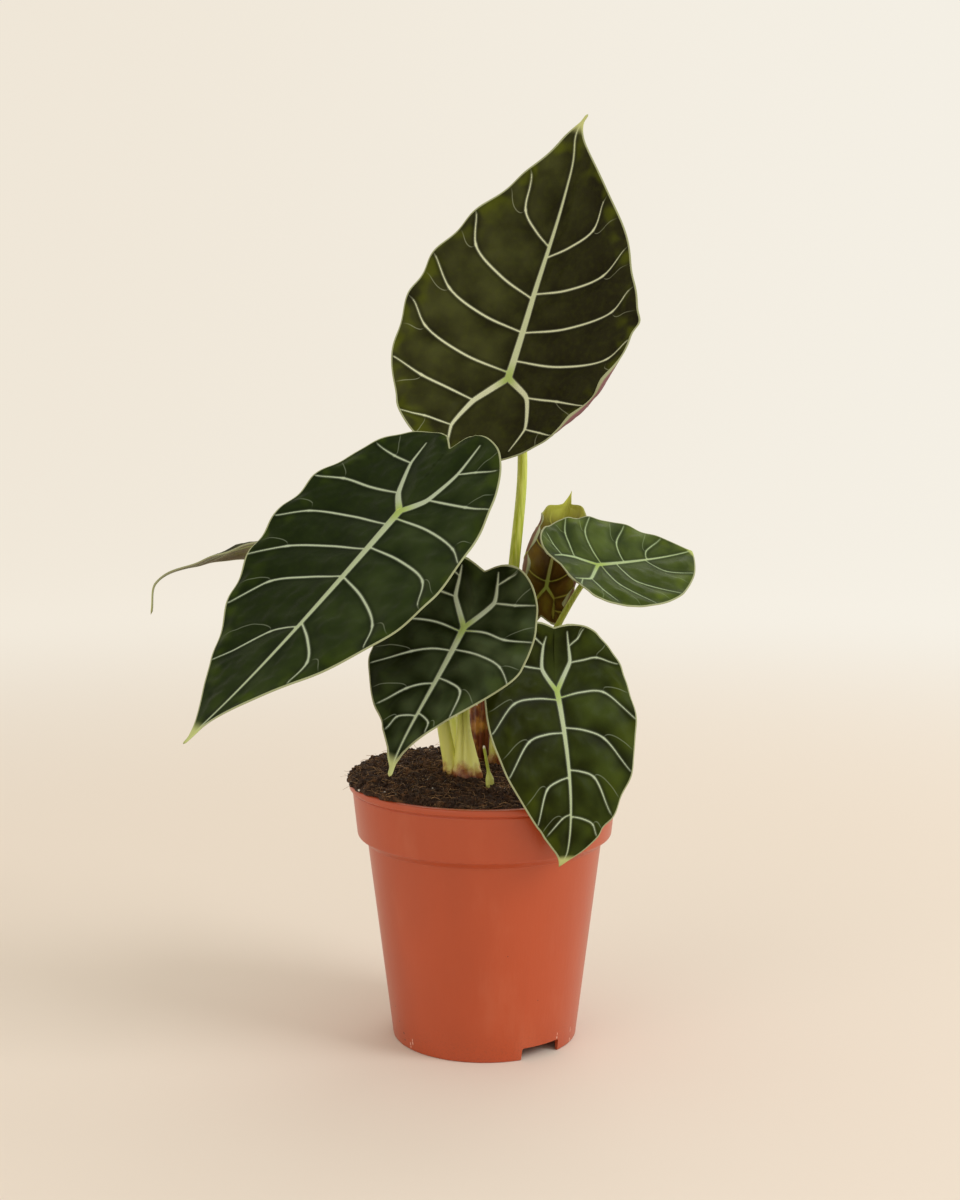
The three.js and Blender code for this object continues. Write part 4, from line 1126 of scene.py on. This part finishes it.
def leaf_under_material(name, colours, tint):
    """The lower face: matt, washed with its tint, the ribs paler and greener."""
    material, tree = new_material(name)
    flat = flat_place(tree)
    vein, rim, joint = named(tree, "vein", "rim", "joint")
    wash = mixed(band(noise(flat, 0.25, 4), 0.3, 0.7), tint, blend(0.15, tint, colours.petiole))
    # Painted light: the lower face made paler near the margin, where the rolled strips show it and the lamps
    # only graze it
    wash = mixed(band(rim, 6, 2), wash, shade(tint, 1.15))
    ribs = mixed(band(joint, 60, 5), blend(0.5, tint, colours.vein), colours.petiole)
    colour = mixed(band(vein, 0.5, -0.1), wash, ribs)
    colour = mixed(band(rim, 1.1, 0.6), colour, colours.margin)
    normal = bump(noise(flat, 1.4, 4), 0.00012)
    finish_material(tree, {"Base Color": colour, "Roughness": 0.55, "Normal": normal,
                           "Specular IOR Level": 0.2})
    return material


def petiole_material(colours):
    """Juicy yellow-green stems with fine lengthwise streaks, paler at the base and torn brown at the soil."""
    material, tree = new_material("Petiole")
    place = object_place(tree)
    along, = named(tree, "along")
    x, _, height = axes(place)
    streaks = noise(scaled(place, 900, 900, 45), 1)
    streaked = blend(0.45, colours.petiole, colours.petiole_base)
    green = mixed(band(streaks, 0.35, 0.7), colours.petiole, streaked)
    green = mixed(band(height, 0.23, 0.19) * 0.4, green, tone(116, 124, 26))
    green = mixed(band(along, 0.75, 1) * 0.35, green, tone(150, 168, 66))
    green = mixed(band(height, 0.156, 0.126) * 0.95, green, colours.petiole_base)
    golden = band(x, POT_AXIS[0] + 7 * MM, POT_AXIS[0] + 10 * MM) * band(height, 0.16, 0.145)
    green = mixed(golden * 0.85, green, tone(176, 138, 40))
    ragged = height + noise(place, 160, 4, 0.65) * 0.016
    green = mixed(band(ragged, 0.1345, 0.1265), green, colours.torn_base)
    green = mixed(band(ragged, 0.1305, 0.125) * 0.7, green, tone(84, 44, 28))
    colour = mixed(band(noise(place, 520, 2), 0.74, 0.8) * 0.5, green, tone(90, 60, 35))
    finish_material(tree, {"Base Color": colour, "Roughness": 0.38, "Normal": bump(streaks, 0.00015),
                           "Subsurface Weight": 0.12, "Subsurface Radius": (0.004, 0.004, 0.001),
                           "Subsurface Scale": 0.5, "Coat Weight": 0.15, "Coat Roughness": 0.25})
    return material


def sheath_material(colours):
    """Dry red-brown paper with darker lengthwise veins and yellowed patches."""
    material, tree = new_material("Papery sheath")
    place = object_place(tree)
    fibres = noise(scaled(place, 1100, 1100, 70), 1, 4)
    colour = mixed(band(fibres, 0.3, 0.65), tone(84, 32, 18), colours.sheath)
    golden = noise(place, 90, 4) + band(axes(place)[2], 0.128, 0.146) * 0.16
    colour = mixed(band(golden, 0.48, 0.7), colour, tone(206, 146, 62))
    finish_material(tree, {"Base Color": colour, "Roughness": 0.42, "Normal": bump(fibres, 0.0003),
                           "Specular IOR Level": 0.5})
    return material


def shoot_material():
    """A green spike, paler at its foot and white at its very tip."""
    material, tree = new_material("Shoot")
    along, = named(tree, "along")
    mottle = noise(object_place(tree), 700)
    colour = mixed(band(along, 0.55, 0.8), tone(228, 234, 128), tone(186, 202, 70))
    colour = mixed(mottle * 0.3, colour, tone(170, 184, 64))
    colour = mixed(band(along, 0.955, 0.985), colour, tone(240, 238, 214))
    finish_material(tree, {"Base Color": colour, "Roughness": 0.4, "Normal": bump(mottle, 0.0001)})
    return material


def soil_material(colours):
    """Moist dark peat with near-black patches, partly its own dark colour and partly painted shade of the
    gaps between crumbs; redder and fibrous on its crumbs.
    """
    material, tree = new_material("Peat soil")
    place = object_place(tree)
    grain = noise(place, 900, 5, 0.7)
    clods = noise(place, 220, 4, 0.6)
    shreds = noise(scaled(place, 700, 260, 500), 1, 4, 0.7, 1.2)
    # Near-black patches by noise: the moist peat's own dark colour and painted shade of the gaps between
    # crumbs
    colour = mixed(band(grain, 0.3, 0.7), tone(36, 21, 12), colours.soil)
    colour = mixed(band(clods, 0.48, 0.72), colour, tone(108, 76, 46))
    colour = mixed(band(shreds, 0.62, 0.72) * 0.8, colour, colours.fibre)
    finish_material(tree, {"Base Color": colour, "Roughness": clods * 0.3 + 0.65,
                           "Normal": bump(grain, 0.0008, bump(clods, 0.0015)), "Specular IOR Level": 0.3})
    return material


def grain_material(name, first, second, scale, roughness):
    material, tree = new_material(name)
    mottle = noise(object_place(tree), scale, 4)
    colour = mixed(band(mottle, 0.35, 0.65), first, second)
    finish_material(tree, {"Base Color": colour, "Roughness": roughness, "Normal": bump(mottle, 0.0002)})
    return material


def pot_material(colours):
    """Satin moulded plastic: faint turned banding, dust, scuffs, and stress marks at the notches' corners."""
    material, tree = new_material("Terracotta plastic")
    place = place_from_axis(tree)
    x, y, z = axes(place)
    cloud = noise(scaled(place, 70, 70, 22), 1, 4)
    speckle = noise(place, 1500)
    broad = band(noise(scaled(place, 16, 16, 7), 1), 0.3, 0.7)
    colour = mixed(broad, shade(colours.pot, 0.92), shade(colours.pot, 1.07))
    colour = mixed(band(cloud, 0.5, 0.8) * 0.12, colour, tone(214, 140, 106))
    dust = band(z, 0.02, 0) * band(speckle, 0.45, 0.7)
    colour = mixed(dust * 0.25, colour, tone(90, 55, 40))
    turn = x.math("ARCTAN2", y * -1).math("DEGREES")
    outside = band(x * x + y * y, ((FOOT_RADIUS - 0.8) * MM) ** 2, ((FOOT_RADIUS - 0.4) * MM) ** 2)
    broken = outside * band(noise(place, 900, 2), 0.4, 0.55)
    for degrees, wide, low, high in STRESS_MARKS:
        off_middle = abs(z - (low + high) / 2 * MM)
        mark = band(abs(turn - degrees), wide, wide * 0.3) * band(
            off_middle, (high - low) / 2 * MM, (high - low) / 4 * MM)
        colour = mixed(mark * broken * 0.8, colour, tone(246, 214, 196))
    for degrees, height, radius in SPECKS:
        away = hypotenuse((turn - degrees) * math.radians(FOOT_RADIUS * MM), z - height * MM)
        colour = mixed(band(away, radius * MM, radius * 0.4 * MM) * outside, colour, tone(92, 44, 26))
    scratches = bump(noise(scaled(place, 900, 900, 60), 1, 2), 0.00003)
    finish_material(tree, {"Base Color": colour, "Roughness": cloud * 0.16 + 0.3,
                           "Normal": bump(speckle, 0.00003, scratches), "Specular IOR Level": 0.5,
                           "Subsurface Weight": 0.05, "Subsurface Radius": (0.004, 0.0015, 0.0008),
                           "Subsurface Scale": 0.5, "Coat Weight": 0.12, "Coat Roughness": 0.2})
    return material


def stage_material(colours):
    """A pale matt floor that runs into a glowing wall without a line between them; the wall's glow is painted
    light, brighter and cooler towards the right.
    """
    material, tree = new_material("Studio floor")
    material.cycles.emission_sampling = "NONE"
    x, y, z = axes(place_from_axis(tree))
    far = band(hypotenuse(x, y) + z, *WALL_STARTS)
    # Painted light: the wall glows instead of being lit, its glow brighter and cooler towards the right
    lit = mixed(band(x, -1, 1), tone(239, 230, 215), tone(244, 239, 228))
    finish_material(tree, {
        "Base Color": mixed(far, tuple(colours.floor), (0, 0, 0)), "Roughness": 0.9,
        "Specular IOR Level": 0.1, "Emission Color": lit, "Emission Strength": far})
    return material


# Pieces

def turned_mesh(name, profile, sides):
    """A closed turned shell from a profile that starts and ends on the axis."""
    shell = bmesh.new()
    rings = []
    for radius, height in profile:
        turns = [2 * math.pi * i / sides for i in range(sides if radius else 1)]
        rings.append([shell.verts.new((radius * math.cos(turn), radius * math.sin(turn), height))
                      for turn in turns])
    for low, high in zip(rings, rings[1:]):
        for i in range(sides):
            j = (i + 1) % sides
            corners = [low[i % len(low)], low[j % len(low)], high[j % len(high)], high[i % len(high)]]
            shell.faces.new([v for k, v in enumerate(corners) if v is not corners[k - 1]])
    bmesh.ops.recalc_face_normals(shell, faces=shell.faces)
    mesh = bpy.data.meshes.new(name)
    shell.to_mesh(mesh)
    shell.free()
    return mesh


def pot_cutters():
    """Rounded boxes for the notches in the foot and rods for the drain holes."""
    cutters = bmesh.new()
    for i in range(NOTCH_COUNT):
        turn = Matrix.Rotation(math.radians(FIRST_NOTCH_DEG + 360 * i / NOTCH_COUNT), 4, "Z")
        box = bmesh.ops.create_cube(cutters, size=1)["verts"]
        size = Matrix.Diagonal((NOTCH_WIDTH, 12, NOTCH_HEIGHT * 2, 1))
        bmesh.ops.transform(cutters, matrix=turn @ Matrix.Translation((0, -FOOT_RADIUS, 0)) @ size, verts=box)
        radial = [edge for edge in {e for v in box for e in v.link_edges}
                  if abs(edge.verts[0].co.z - edge.verts[1].co.z) < 0.1
                  and edge.verts[0].co.z > 0
                  and abs((turn.inverted() @ (edge.verts[0].co - edge.verts[1].co)).x) < 0.1]
        bmesh.ops.bevel(cutters, geom=radial, offset=NOTCH_ROUNDING, segments=4, affect="EDGES", profile=0.5)
    for i in range(DRAIN_HOLE_COUNT):
        turn = Matrix.Rotation(math.radians(FIRST_NOTCH_DEG + 360 * (i + 0.5) / DRAIN_HOLE_COUNT), 4, "Z")
        bmesh.ops.create_cone(cutters, cap_ends=True, segments=32, radius1=DRAIN_HOLE_RADIUS,
                              radius2=DRAIN_HOLE_RADIUS, depth=6,
                              matrix=turn @ Matrix.Translation((0, -DRAIN_HOLE_CIRCLE, FLOOR_TOP - 1)))
    bmesh.ops.recalc_face_normals(cutters, faces=cutters.faces)
    mesh = bpy.data.meshes.new("pot_cutters")
    cutters.to_mesh(mesh)
    cutters.free()
    return mesh


def pot_mesh():
    outer = [
        (0, FOOT_HEIGHT), (FOOT_RADIUS - WALL, FOOT_HEIGHT), (FOOT_RADIUS - WALL, 0), (FOOT_RADIUS, 0),
        BODY_TOP, COLLAR_BOTTOM, (COLLAR_TOP, LIP_BOTTOM - 0.5), (COLLAR_TOP - 0.45, LIP_BOTTOM + 0.1),
        (LIP_RADIUS - 0.3, LIP_BOTTOM + 0.8), (LIP_RADIUS, LIP_BOTTOM + 1.8), (LIP_RADIUS, POT_HEIGHT),
        (COLLAR_TOP - WALL - 0.1, POT_HEIGHT), (COLLAR_BOTTOM[0] - WALL, COLLAR_BOTTOM[1] + 1.2),
        (BODY_TOP[0] - WALL, BODY_TOP[1]), (FOOT_RADIUS + SLOPE * FLOOR_TOP - WALL, FLOOR_TOP),
        (0, FLOOR_TOP),
    ]
    shell = turned_mesh("pot_shell", rounded(outer, EDGE_ROUNDING), POT_SIDES)
    pot = bpy.data.objects.new("pot_shell", shell)
    cutter = bpy.data.objects.new("pot_cutters", pot_cutters())
    for holder in (pot, cutter):
        bpy.context.scene.collection.objects.link(holder)
    cut = pot.modifiers.new("Notches", "BOOLEAN")
    cut.object = cutter
    cut.operation = "DIFFERENCE"
    cut.solver = "EXACT"
    mesh = plain_mesh(pot)
    bpy.data.objects.remove(cutter)
    mesh.transform(Matrix.Translation(POT_AXIS) @ Matrix.Scale(MM, 4))
    smooth_shaded(mesh).set_sharp_from_angle(angle=math.radians(42))
    return mesh


def soil_height(x, y):
    """The heaped soil's height at a place from the pot's axis, as the solids have it."""
    reach = np.hypot(x, y) / SOIL_EDGE_RADIUS
    towards_back = np.cos(np.arctan2(y, x) - math.radians(SOIL_BACK_DEG))
    heap = SOIL_HEAP * (1 - reach ** 9)
    back = SOIL_BACK_RISE * towards_back * reach * (1 - 0.4 * reach ** 9)
    crumbs = np.sin(0.71 * x + 1.3 * np.sin(0.43 * y)) * np.sin(0.63 * y + 1.1 * np.sin(0.37 * x))
    return SOIL_RIM_HEIGHT + heap + back + CRUMB_HEIGHT * crumbs * (1 - reach ** 4)


def soil_mesh():
    """The soil's body and a fine polar grid over its top, which spills over the lip on one side."""
    inset = WALL + SOIL_CLEARANCE
    bottom = FLOOR_TOP + SOIL_CLEARANCE
    wall = [
        (FOOT_RADIUS + SLOPE * bottom - inset, bottom), (BODY_TOP[0] - inset, BODY_TOP[1] + 0.2),
        (COLLAR_BOTTOM[0] - inset, COLLAR_BOTTOM[1] + 1.5), (SOIL_EDGE_RADIUS, SOIL_RIM_HEIGHT - 0.6),
    ]
    wall_top = wall[-1][1]
    shares = np.concatenate([np.linspace(1, 0.94, 6), np.linspace(0.92, 0.02, 56)])
    angle = 2 * np.pi * np.arange(SOIL_SIDES) / SOIL_SIDES
    ragged = 0.06 * np.sin(13 * angle) + 0.05 * np.sin(29 * angle + 1)
    spill = smooth(np.cos(angle - math.radians(SPILL_DEG)) + ragged, *SPILL_SPAN)
    rings = list(wall)
    edge_height = soil_height(SOIL_EDGE_RADIUS * np.cos(angle), SOIL_EDGE_RADIUS * np.sin(angle))
    for number, (radius, height) in enumerate(SPILL_RINGS):
        wavy = radius + 0.6 * np.sin(41 * angle)
        reach = SOIL_EDGE_RADIUS + (wavy - SOIL_EDGE_RADIUS) * np.maximum(spill, 0.02)
        low = wall_top + (edge_height - wall_top) * (number + 1) / (len(SPILL_RINGS) + 1)
        rings.append((reach, low + (height - low) * spill))
    for share in shares:
        radius = SOIL_EDGE_RADIUS * share
        height = soil_height(radius * np.cos(angle), radius * np.sin(angle))
        if share > SPILL_INNER:
            heap = SPILL_RISE * spill * smooth(share, SPILL_INNER, 0.97)
            height = np.maximum(height + 0.35 * heap, SOIL_RIM_HEIGHT + heap)
        rings.append((radius, height))
    points = [np.stack([radius * np.cos(angle), radius * np.sin(angle), height * np.ones(SOIL_SIDES)], axis=1)
              for radius, height in rings]
    points = np.concatenate([*points, [[0, 0, bottom], [0, 0, soil_height(0.0, 0.0)]]])
    count = len(rings) * SOIL_SIDES
    here = np.arange(SOIL_SIDES)
    after = (here + 1) % SOIL_SIDES
    faces = []
    for start in range(0, count - SOIL_SIDES, SOIL_SIDES):
        above = start + SOIL_SIDES
        faces += np.stack([start + here, start + after, above + after, above + here], axis=1).tolist()
    last = count - SOIL_SIDES
    for i, j in zip(here.tolist(), after.tolist()):
        faces += [[count, j, i], [count + 1, last + i, last + j]]
    inner = np.maximum(smooth(1 - shares, 0, 0.05)[:, None], spill)
    spilled = np.outer((0.1, 0.3, 0.7, 1), spill)
    top = np.concatenate([np.zeros(len(wall) * SOIL_SIDES), spilled.ravel(), inner.ravel(), [0, 1]])
    mesh = bpy.data.meshes.new("soil")
    mesh.from_pydata((points * MM + np.array(POT_AXIS)).tolist(), [], faces)
    store(mesh, "top", top)
    return smooth_shaded(mesh)


def sheath_mesh():
    """A creased sheet part way round the young leaf's petiole, ragged along its top."""
    columns, rows = 70, 60
    turn = np.linspace(-0.5, 0.5, columns)[:, None]
    climb = np.linspace(0, 1, rows)[None, :]
    angle = np.radians(SHEATH_MIDDLE_DEG + SHEATH_ARC_DEG * turn)
    torn = 1.4 * np.sin(37 * turn) + 0.8 * np.sin(91 * turn + 1)
    top = SHEATH_TOP - 3 - 2.6 * np.cos(23 * turn) + torn
    crease = 0.35 * np.sin(46 * turn + 3 * climb) * climb + 0.3 * np.sin(9 * climb + 8 * turn)
    radius = SHEATH_RADIUS + SHEATH_FLARE * climb ** 2 + crease
    place = np.stack([
        SHEATH_ROOT[0] + SHEATH_LEAN * climb + radius * np.cos(angle),
        SHEATH_ROOT[1] + radius * np.sin(angle),
        STEM_FLOOR + (top - STEM_FLOOR) * climb,
    ], axis=2).reshape(-1, 3)
    faces = [(i * rows + k, (i + 1) * rows + k, (i + 1) * rows + k + 1, i * rows + k + 1)
             for i in range(columns - 1) for k in range(rows - 1)]
    mesh = bpy.data.meshes.new("papery_sheath_skin")
    mesh.from_pydata((place * MM + np.array(POT_AXIS)).tolist(), [], faces)
    return smooth_shaded(mesh)


def stem_piece(name, tree, stops, radii, swelling, material, nodes, tip_round=0, torn=1.2, groove=None):
    """A petiole or the shoot: a line through its stops with a skin round it."""
    points = smooth_path([from_axis(stop) for stop in stops], STEM_STOPS)
    taper = np.ones(len(points))
    if tip_round:
        left = np.clip(np.linspace(1, 0, len(points)) / tip_round, 0, 1)
        taper = np.sqrt(1 - (1 - left) ** 2) * 0.98 + 0.02
    line = bpy.data.meshes.new(name)
    line.from_pydata(points.tolist(), [(k, k + 1) for k in range(len(points) - 1)], [])
    store(line, "taper", taper)
    base, slim, top = radii
    mesh = run_tree(name, line, tree, {
        "Base radius": base * MM, "Slim radius": slim * MM, "Top radius": top * MM,
        "Soil height": SOIL_TOP * MM, "Swelling height": swelling * MM, "Torn": torn * base * MM,
        "Groove": 0.0 if groove is None else 1.1 * MM, "Groove line": from_axis((groove or 0, 0, 0)).x,
        "Material": material})
    return piece_object(name, mesh, nodes)


class ALOCASIA_OT_pot(Operator):
    """Build the nursery pot with its lip, collar, foot notches and drain holes"""
    bl_idname = "alocasia.pot"
    bl_label = "Pot"

    def execute(self, context):
        mesh = pot_mesh()
        if len(mesh.polygons) < 1000:
            raise RuntimeError("the pot's notches could not be cut")
        mesh.materials.clear()
        mesh.materials.append(pot_material(context.scene.alocasia_colours))
        piece_object("nursery_pot", mesh, ["pot"])
        return {"FINISHED"}


class ALOCASIA_OT_soil(Operator):
    """Build the heaped soil with its crumbs, perlite and peat fibres"""
    bl_idname = "alocasia.soil"
    bl_label = "Soil"

    def execute(self, context):
        sizes, colours = context.scene.alocasia_sizes, context.scene.alocasia_colours
        mesh = run_tree("potting_soil", soil_mesh(), soil_cover_tree(), {
            "Crumb size": sizes.crumb_size, "Crumb density": sizes.crumb_density,
            "Perlite density": sizes.perlite_density, "Fibre density": sizes.fibre_density,
            "Seed": sizes.seed, "Soil": soil_material(colours),
            "Perlite": grain_material("Perlite", tone(226, 222, 210), tone(190, 184, 170), 900, 0.8),
            "Fibre": grain_material("Peat fibre", colours.fibre, shade(colours.fibre, 0.45), 260, 0.75)})
        if len(mesh.polygons) < 20000:
            raise RuntimeError("the soil's crumbs were not scattered")
        piece_object("potting_soil", mesh, ["soil"])
        return {"FINISHED"}


class ALOCASIA_OT_blades(Operator):
    """Build the seven veined leaf blades"""
    bl_idname = "alocasia.blades"
    bl_label = "Leaf blades"

    def execute(self, context):
        sizes, colours = context.scene.alocasia_sizes, context.scene.alocasia_colours
        tree = relief_tree()
        for name, own in LEAVES.items():
            leaf = {**NO_EXTRAS, **own}
            piece = f"leaf_blade_{name}"
            mesh = blade_mesh(piece, leaf, sizes.grid_step / MM)
            mesh.materials.append(leaf_upper_material(
                f"Blade {name} upper face", colours, LEAF_LOOKS[name], TIP_REACH.get(name, 1)))
            tint = LEAF_UNDERSIDES.get(name, tuple(colours.underside))
            mesh.materials.append(leaf_under_material(f"Blade {name} lower face", colours, tint))
            mesh = run_tree(piece, mesh, tree, {
                "Thickness": sizes.blade_thickness, "Quilting": sizes.quilting, "Ripples": sizes.ripple,
                "Undulation": sizes.undulation, "Vein rise": sizes.vein_rise,
                "Midrib depth": sizes.midrib_depth, "Midrib": leaf["midrib"]})
            if len(mesh.polygons) < 2000:
                raise RuntimeError(f"the blade {name} came out empty")
            piece_object(piece, mesh, [f"blade_{name}"])
        return {"FINISHED"}


class ALOCASIA_OT_petioles(Operator):
    """Build the petioles that carry the blades"""
    bl_idname = "alocasia.petioles"
    bl_label = "Petioles"

    def execute(self, context):
        tree = petiole_tree()
        material = petiole_material(context.scene.alocasia_colours)
        for name, leaf in LEAVES.items():
            x, y = leaf["root"]
            thick, thin = leaf["stem"]
            normal = Vector(blade_normal(leaf, np.zeros(1), np.zeros(1))[0])
            outward = (leaf_matrix(leaf).to_3x3() @ normal).normalized()
            head = Vector(leaf["joint"]) - outward * JOINT_GAP
            stops = [(x, y, STEM_FLOOR), (x, y, SOIL_TOP - 3), (x, y, SOIL_TOP), *leaf["via"], head]
            clasping = name == "centre"
            stem_piece(f"leaf_petiole_{name}", tree, stops, (thick, min(thick, SLIM_RADIUS), thin),
                       CLASPING_SWELLING if clasping else SWELLING, material, [f"petiole_{name}"],
                       groove=CLASPING_LINE if clasping else None)
        return {"FINISHED"}


class ALOCASIA_OT_sheath(Operator):
    """Build the dry papery sheath behind the petioles"""
    bl_idname = "alocasia.sheath"
    bl_label = "Papery sheath"

    def execute(self, context):
        mesh = sheath_mesh()
        mesh.materials.append(sheath_material(context.scene.alocasia_colours))
        piece = piece_object("papery_sheath_skin", mesh, ["papery_sheath"])
        wall = piece.modifiers.new("Thickness", "SOLIDIFY")
        wall.thickness = SHEATH_WALL * MM
        wall.offset = 0
        return {"FINISHED"}


class ALOCASIA_OT_shoot(Operator):
    """Build the young shoot in front of the petioles"""
    bl_idname = "alocasia.shoot"
    bl_label = "Shoot"

    def execute(self, context):
        stem_piece("young_shoot", petiole_tree(), SHOOT_STOPS, SHOOT_RADII, SHOOT_SWELLING, shoot_material(),
                   ["shoot"], tip_round=0.04, torn=0)
        return {"FINISHED"}


class ALOCASIA_OT_stage(Operator):
    """Set the pale swept floor, the soft studio light and the photograph's camera"""
    bl_idname = "alocasia.stage"
    bl_label = "Stage"

    def execute(self, context):
        scene = context.scene
        sweep = rounded([(0, 0), (STAGE_RADIUS, 0), (STAGE_RADIUS, STAGE_HEIGHT)], STAGE_SWEEP, 24)
        floor_mesh = smooth_shaded(turned_mesh("floor", sweep, 96))
        floor_mesh.transform(Matrix.Translation(POT_AXIS))
        floor_mesh.materials.append(stage_material(scene.alocasia_colours))
        floor = bpy.data.objects.new("floor", floor_mesh)
        scene.collection.objects.link(floor)
        scene.world = bpy.data.worlds.new("Studio")
        scene.world.use_nodes = True
        background = scene.world.node_tree.nodes["Background"]
        background.inputs["Color"].default_value = (*tone(246, 239, 228), 1)
        background.inputs["Strength"].default_value = WORLD_STRENGTH
        for name, place, size, power, colour in LAMPS:
            light = bpy.data.lights.new(name, "AREA")
            light.shape = "DISK"
            light.size = size
            light.energy = power
            light.color = colour
            lamp = bpy.data.objects.new(name, light)
            lamp.location = POT_AXIS + Vector(place)
            lamp.rotation_euler = (POT_AXIS + LAMP_TARGET - lamp.location).to_track_quat("-Z", "Y").to_euler()
            scene.collection.objects.link(lamp)
        lens = bpy.data.cameras.new("camera")
        lens.sensor_fit = "VERTICAL"
        lens.sensor_height = 36
        lens.lens = CAMERA_LENS
        camera = bpy.data.objects.new("camera", lens)
        camera.location = from_axis(CAMERA_PLACE)
        camera.rotation_euler = (math.radians(90 - CAMERA_DOWN_DEG), 0, 0)
        scene.collection.objects.link(camera)
        scene.camera = camera
        scene.view_settings.view_transform = "Standard"
        return {"FINISHED"}


PIECES = (ALOCASIA_OT_pot, ALOCASIA_OT_soil, ALOCASIA_OT_blades, ALOCASIA_OT_petioles, ALOCASIA_OT_sheath,
          ALOCASIA_OT_shoot, ALOCASIA_OT_stage)


class ALOCASIA_PT_panel(Panel):
    """Lists the sizes, the colours and the buttons that build the potted alocasia"""
    bl_idname = "ALOCASIA_PT_panel"
    bl_label = "Potted Alocasia"
    bl_space_type = "VIEW_3D"
    bl_region_type = "UI"
    bl_category = "Alocasia"

    def draw(self, context):
        scene = context.scene
        for heading, group in (("Sizes", scene.alocasia_sizes), ("Colours", scene.alocasia_colours)):
            box = self.layout.box()
            box.label(text=heading)
            for key in group.__annotations__:
                box.prop(group, key)
        for piece in PIECES:
            self.layout.operator(piece.bl_idname)


CLASSES = (AlocasiaSizes, AlocasiaColours, *PIECES, ALOCASIA_PT_panel)


def register():
    for cls in CLASSES:
        bpy.utils.register_class(cls)
    bpy.types.Scene.alocasia_sizes = PointerProperty(type=AlocasiaSizes)
    bpy.types.Scene.alocasia_colours = PointerProperty(type=AlocasiaColours)


def unregister():
    del bpy.types.Scene.alocasia_colours
    del bpy.types.Scene.alocasia_sizes
    for cls in reversed(CLASSES):
        bpy.utils.unregister_class(cls)


def main():
    register()
    bpy.ops.alocasia.pot()
    bpy.ops.alocasia.soil()
    bpy.ops.alocasia.blades()
    bpy.ops.alocasia.petioles()
    bpy.ops.alocasia.sheath()
    bpy.ops.alocasia.shoot()
    bpy.ops.alocasia.stage()


if __name__ == "__main__":
    main()
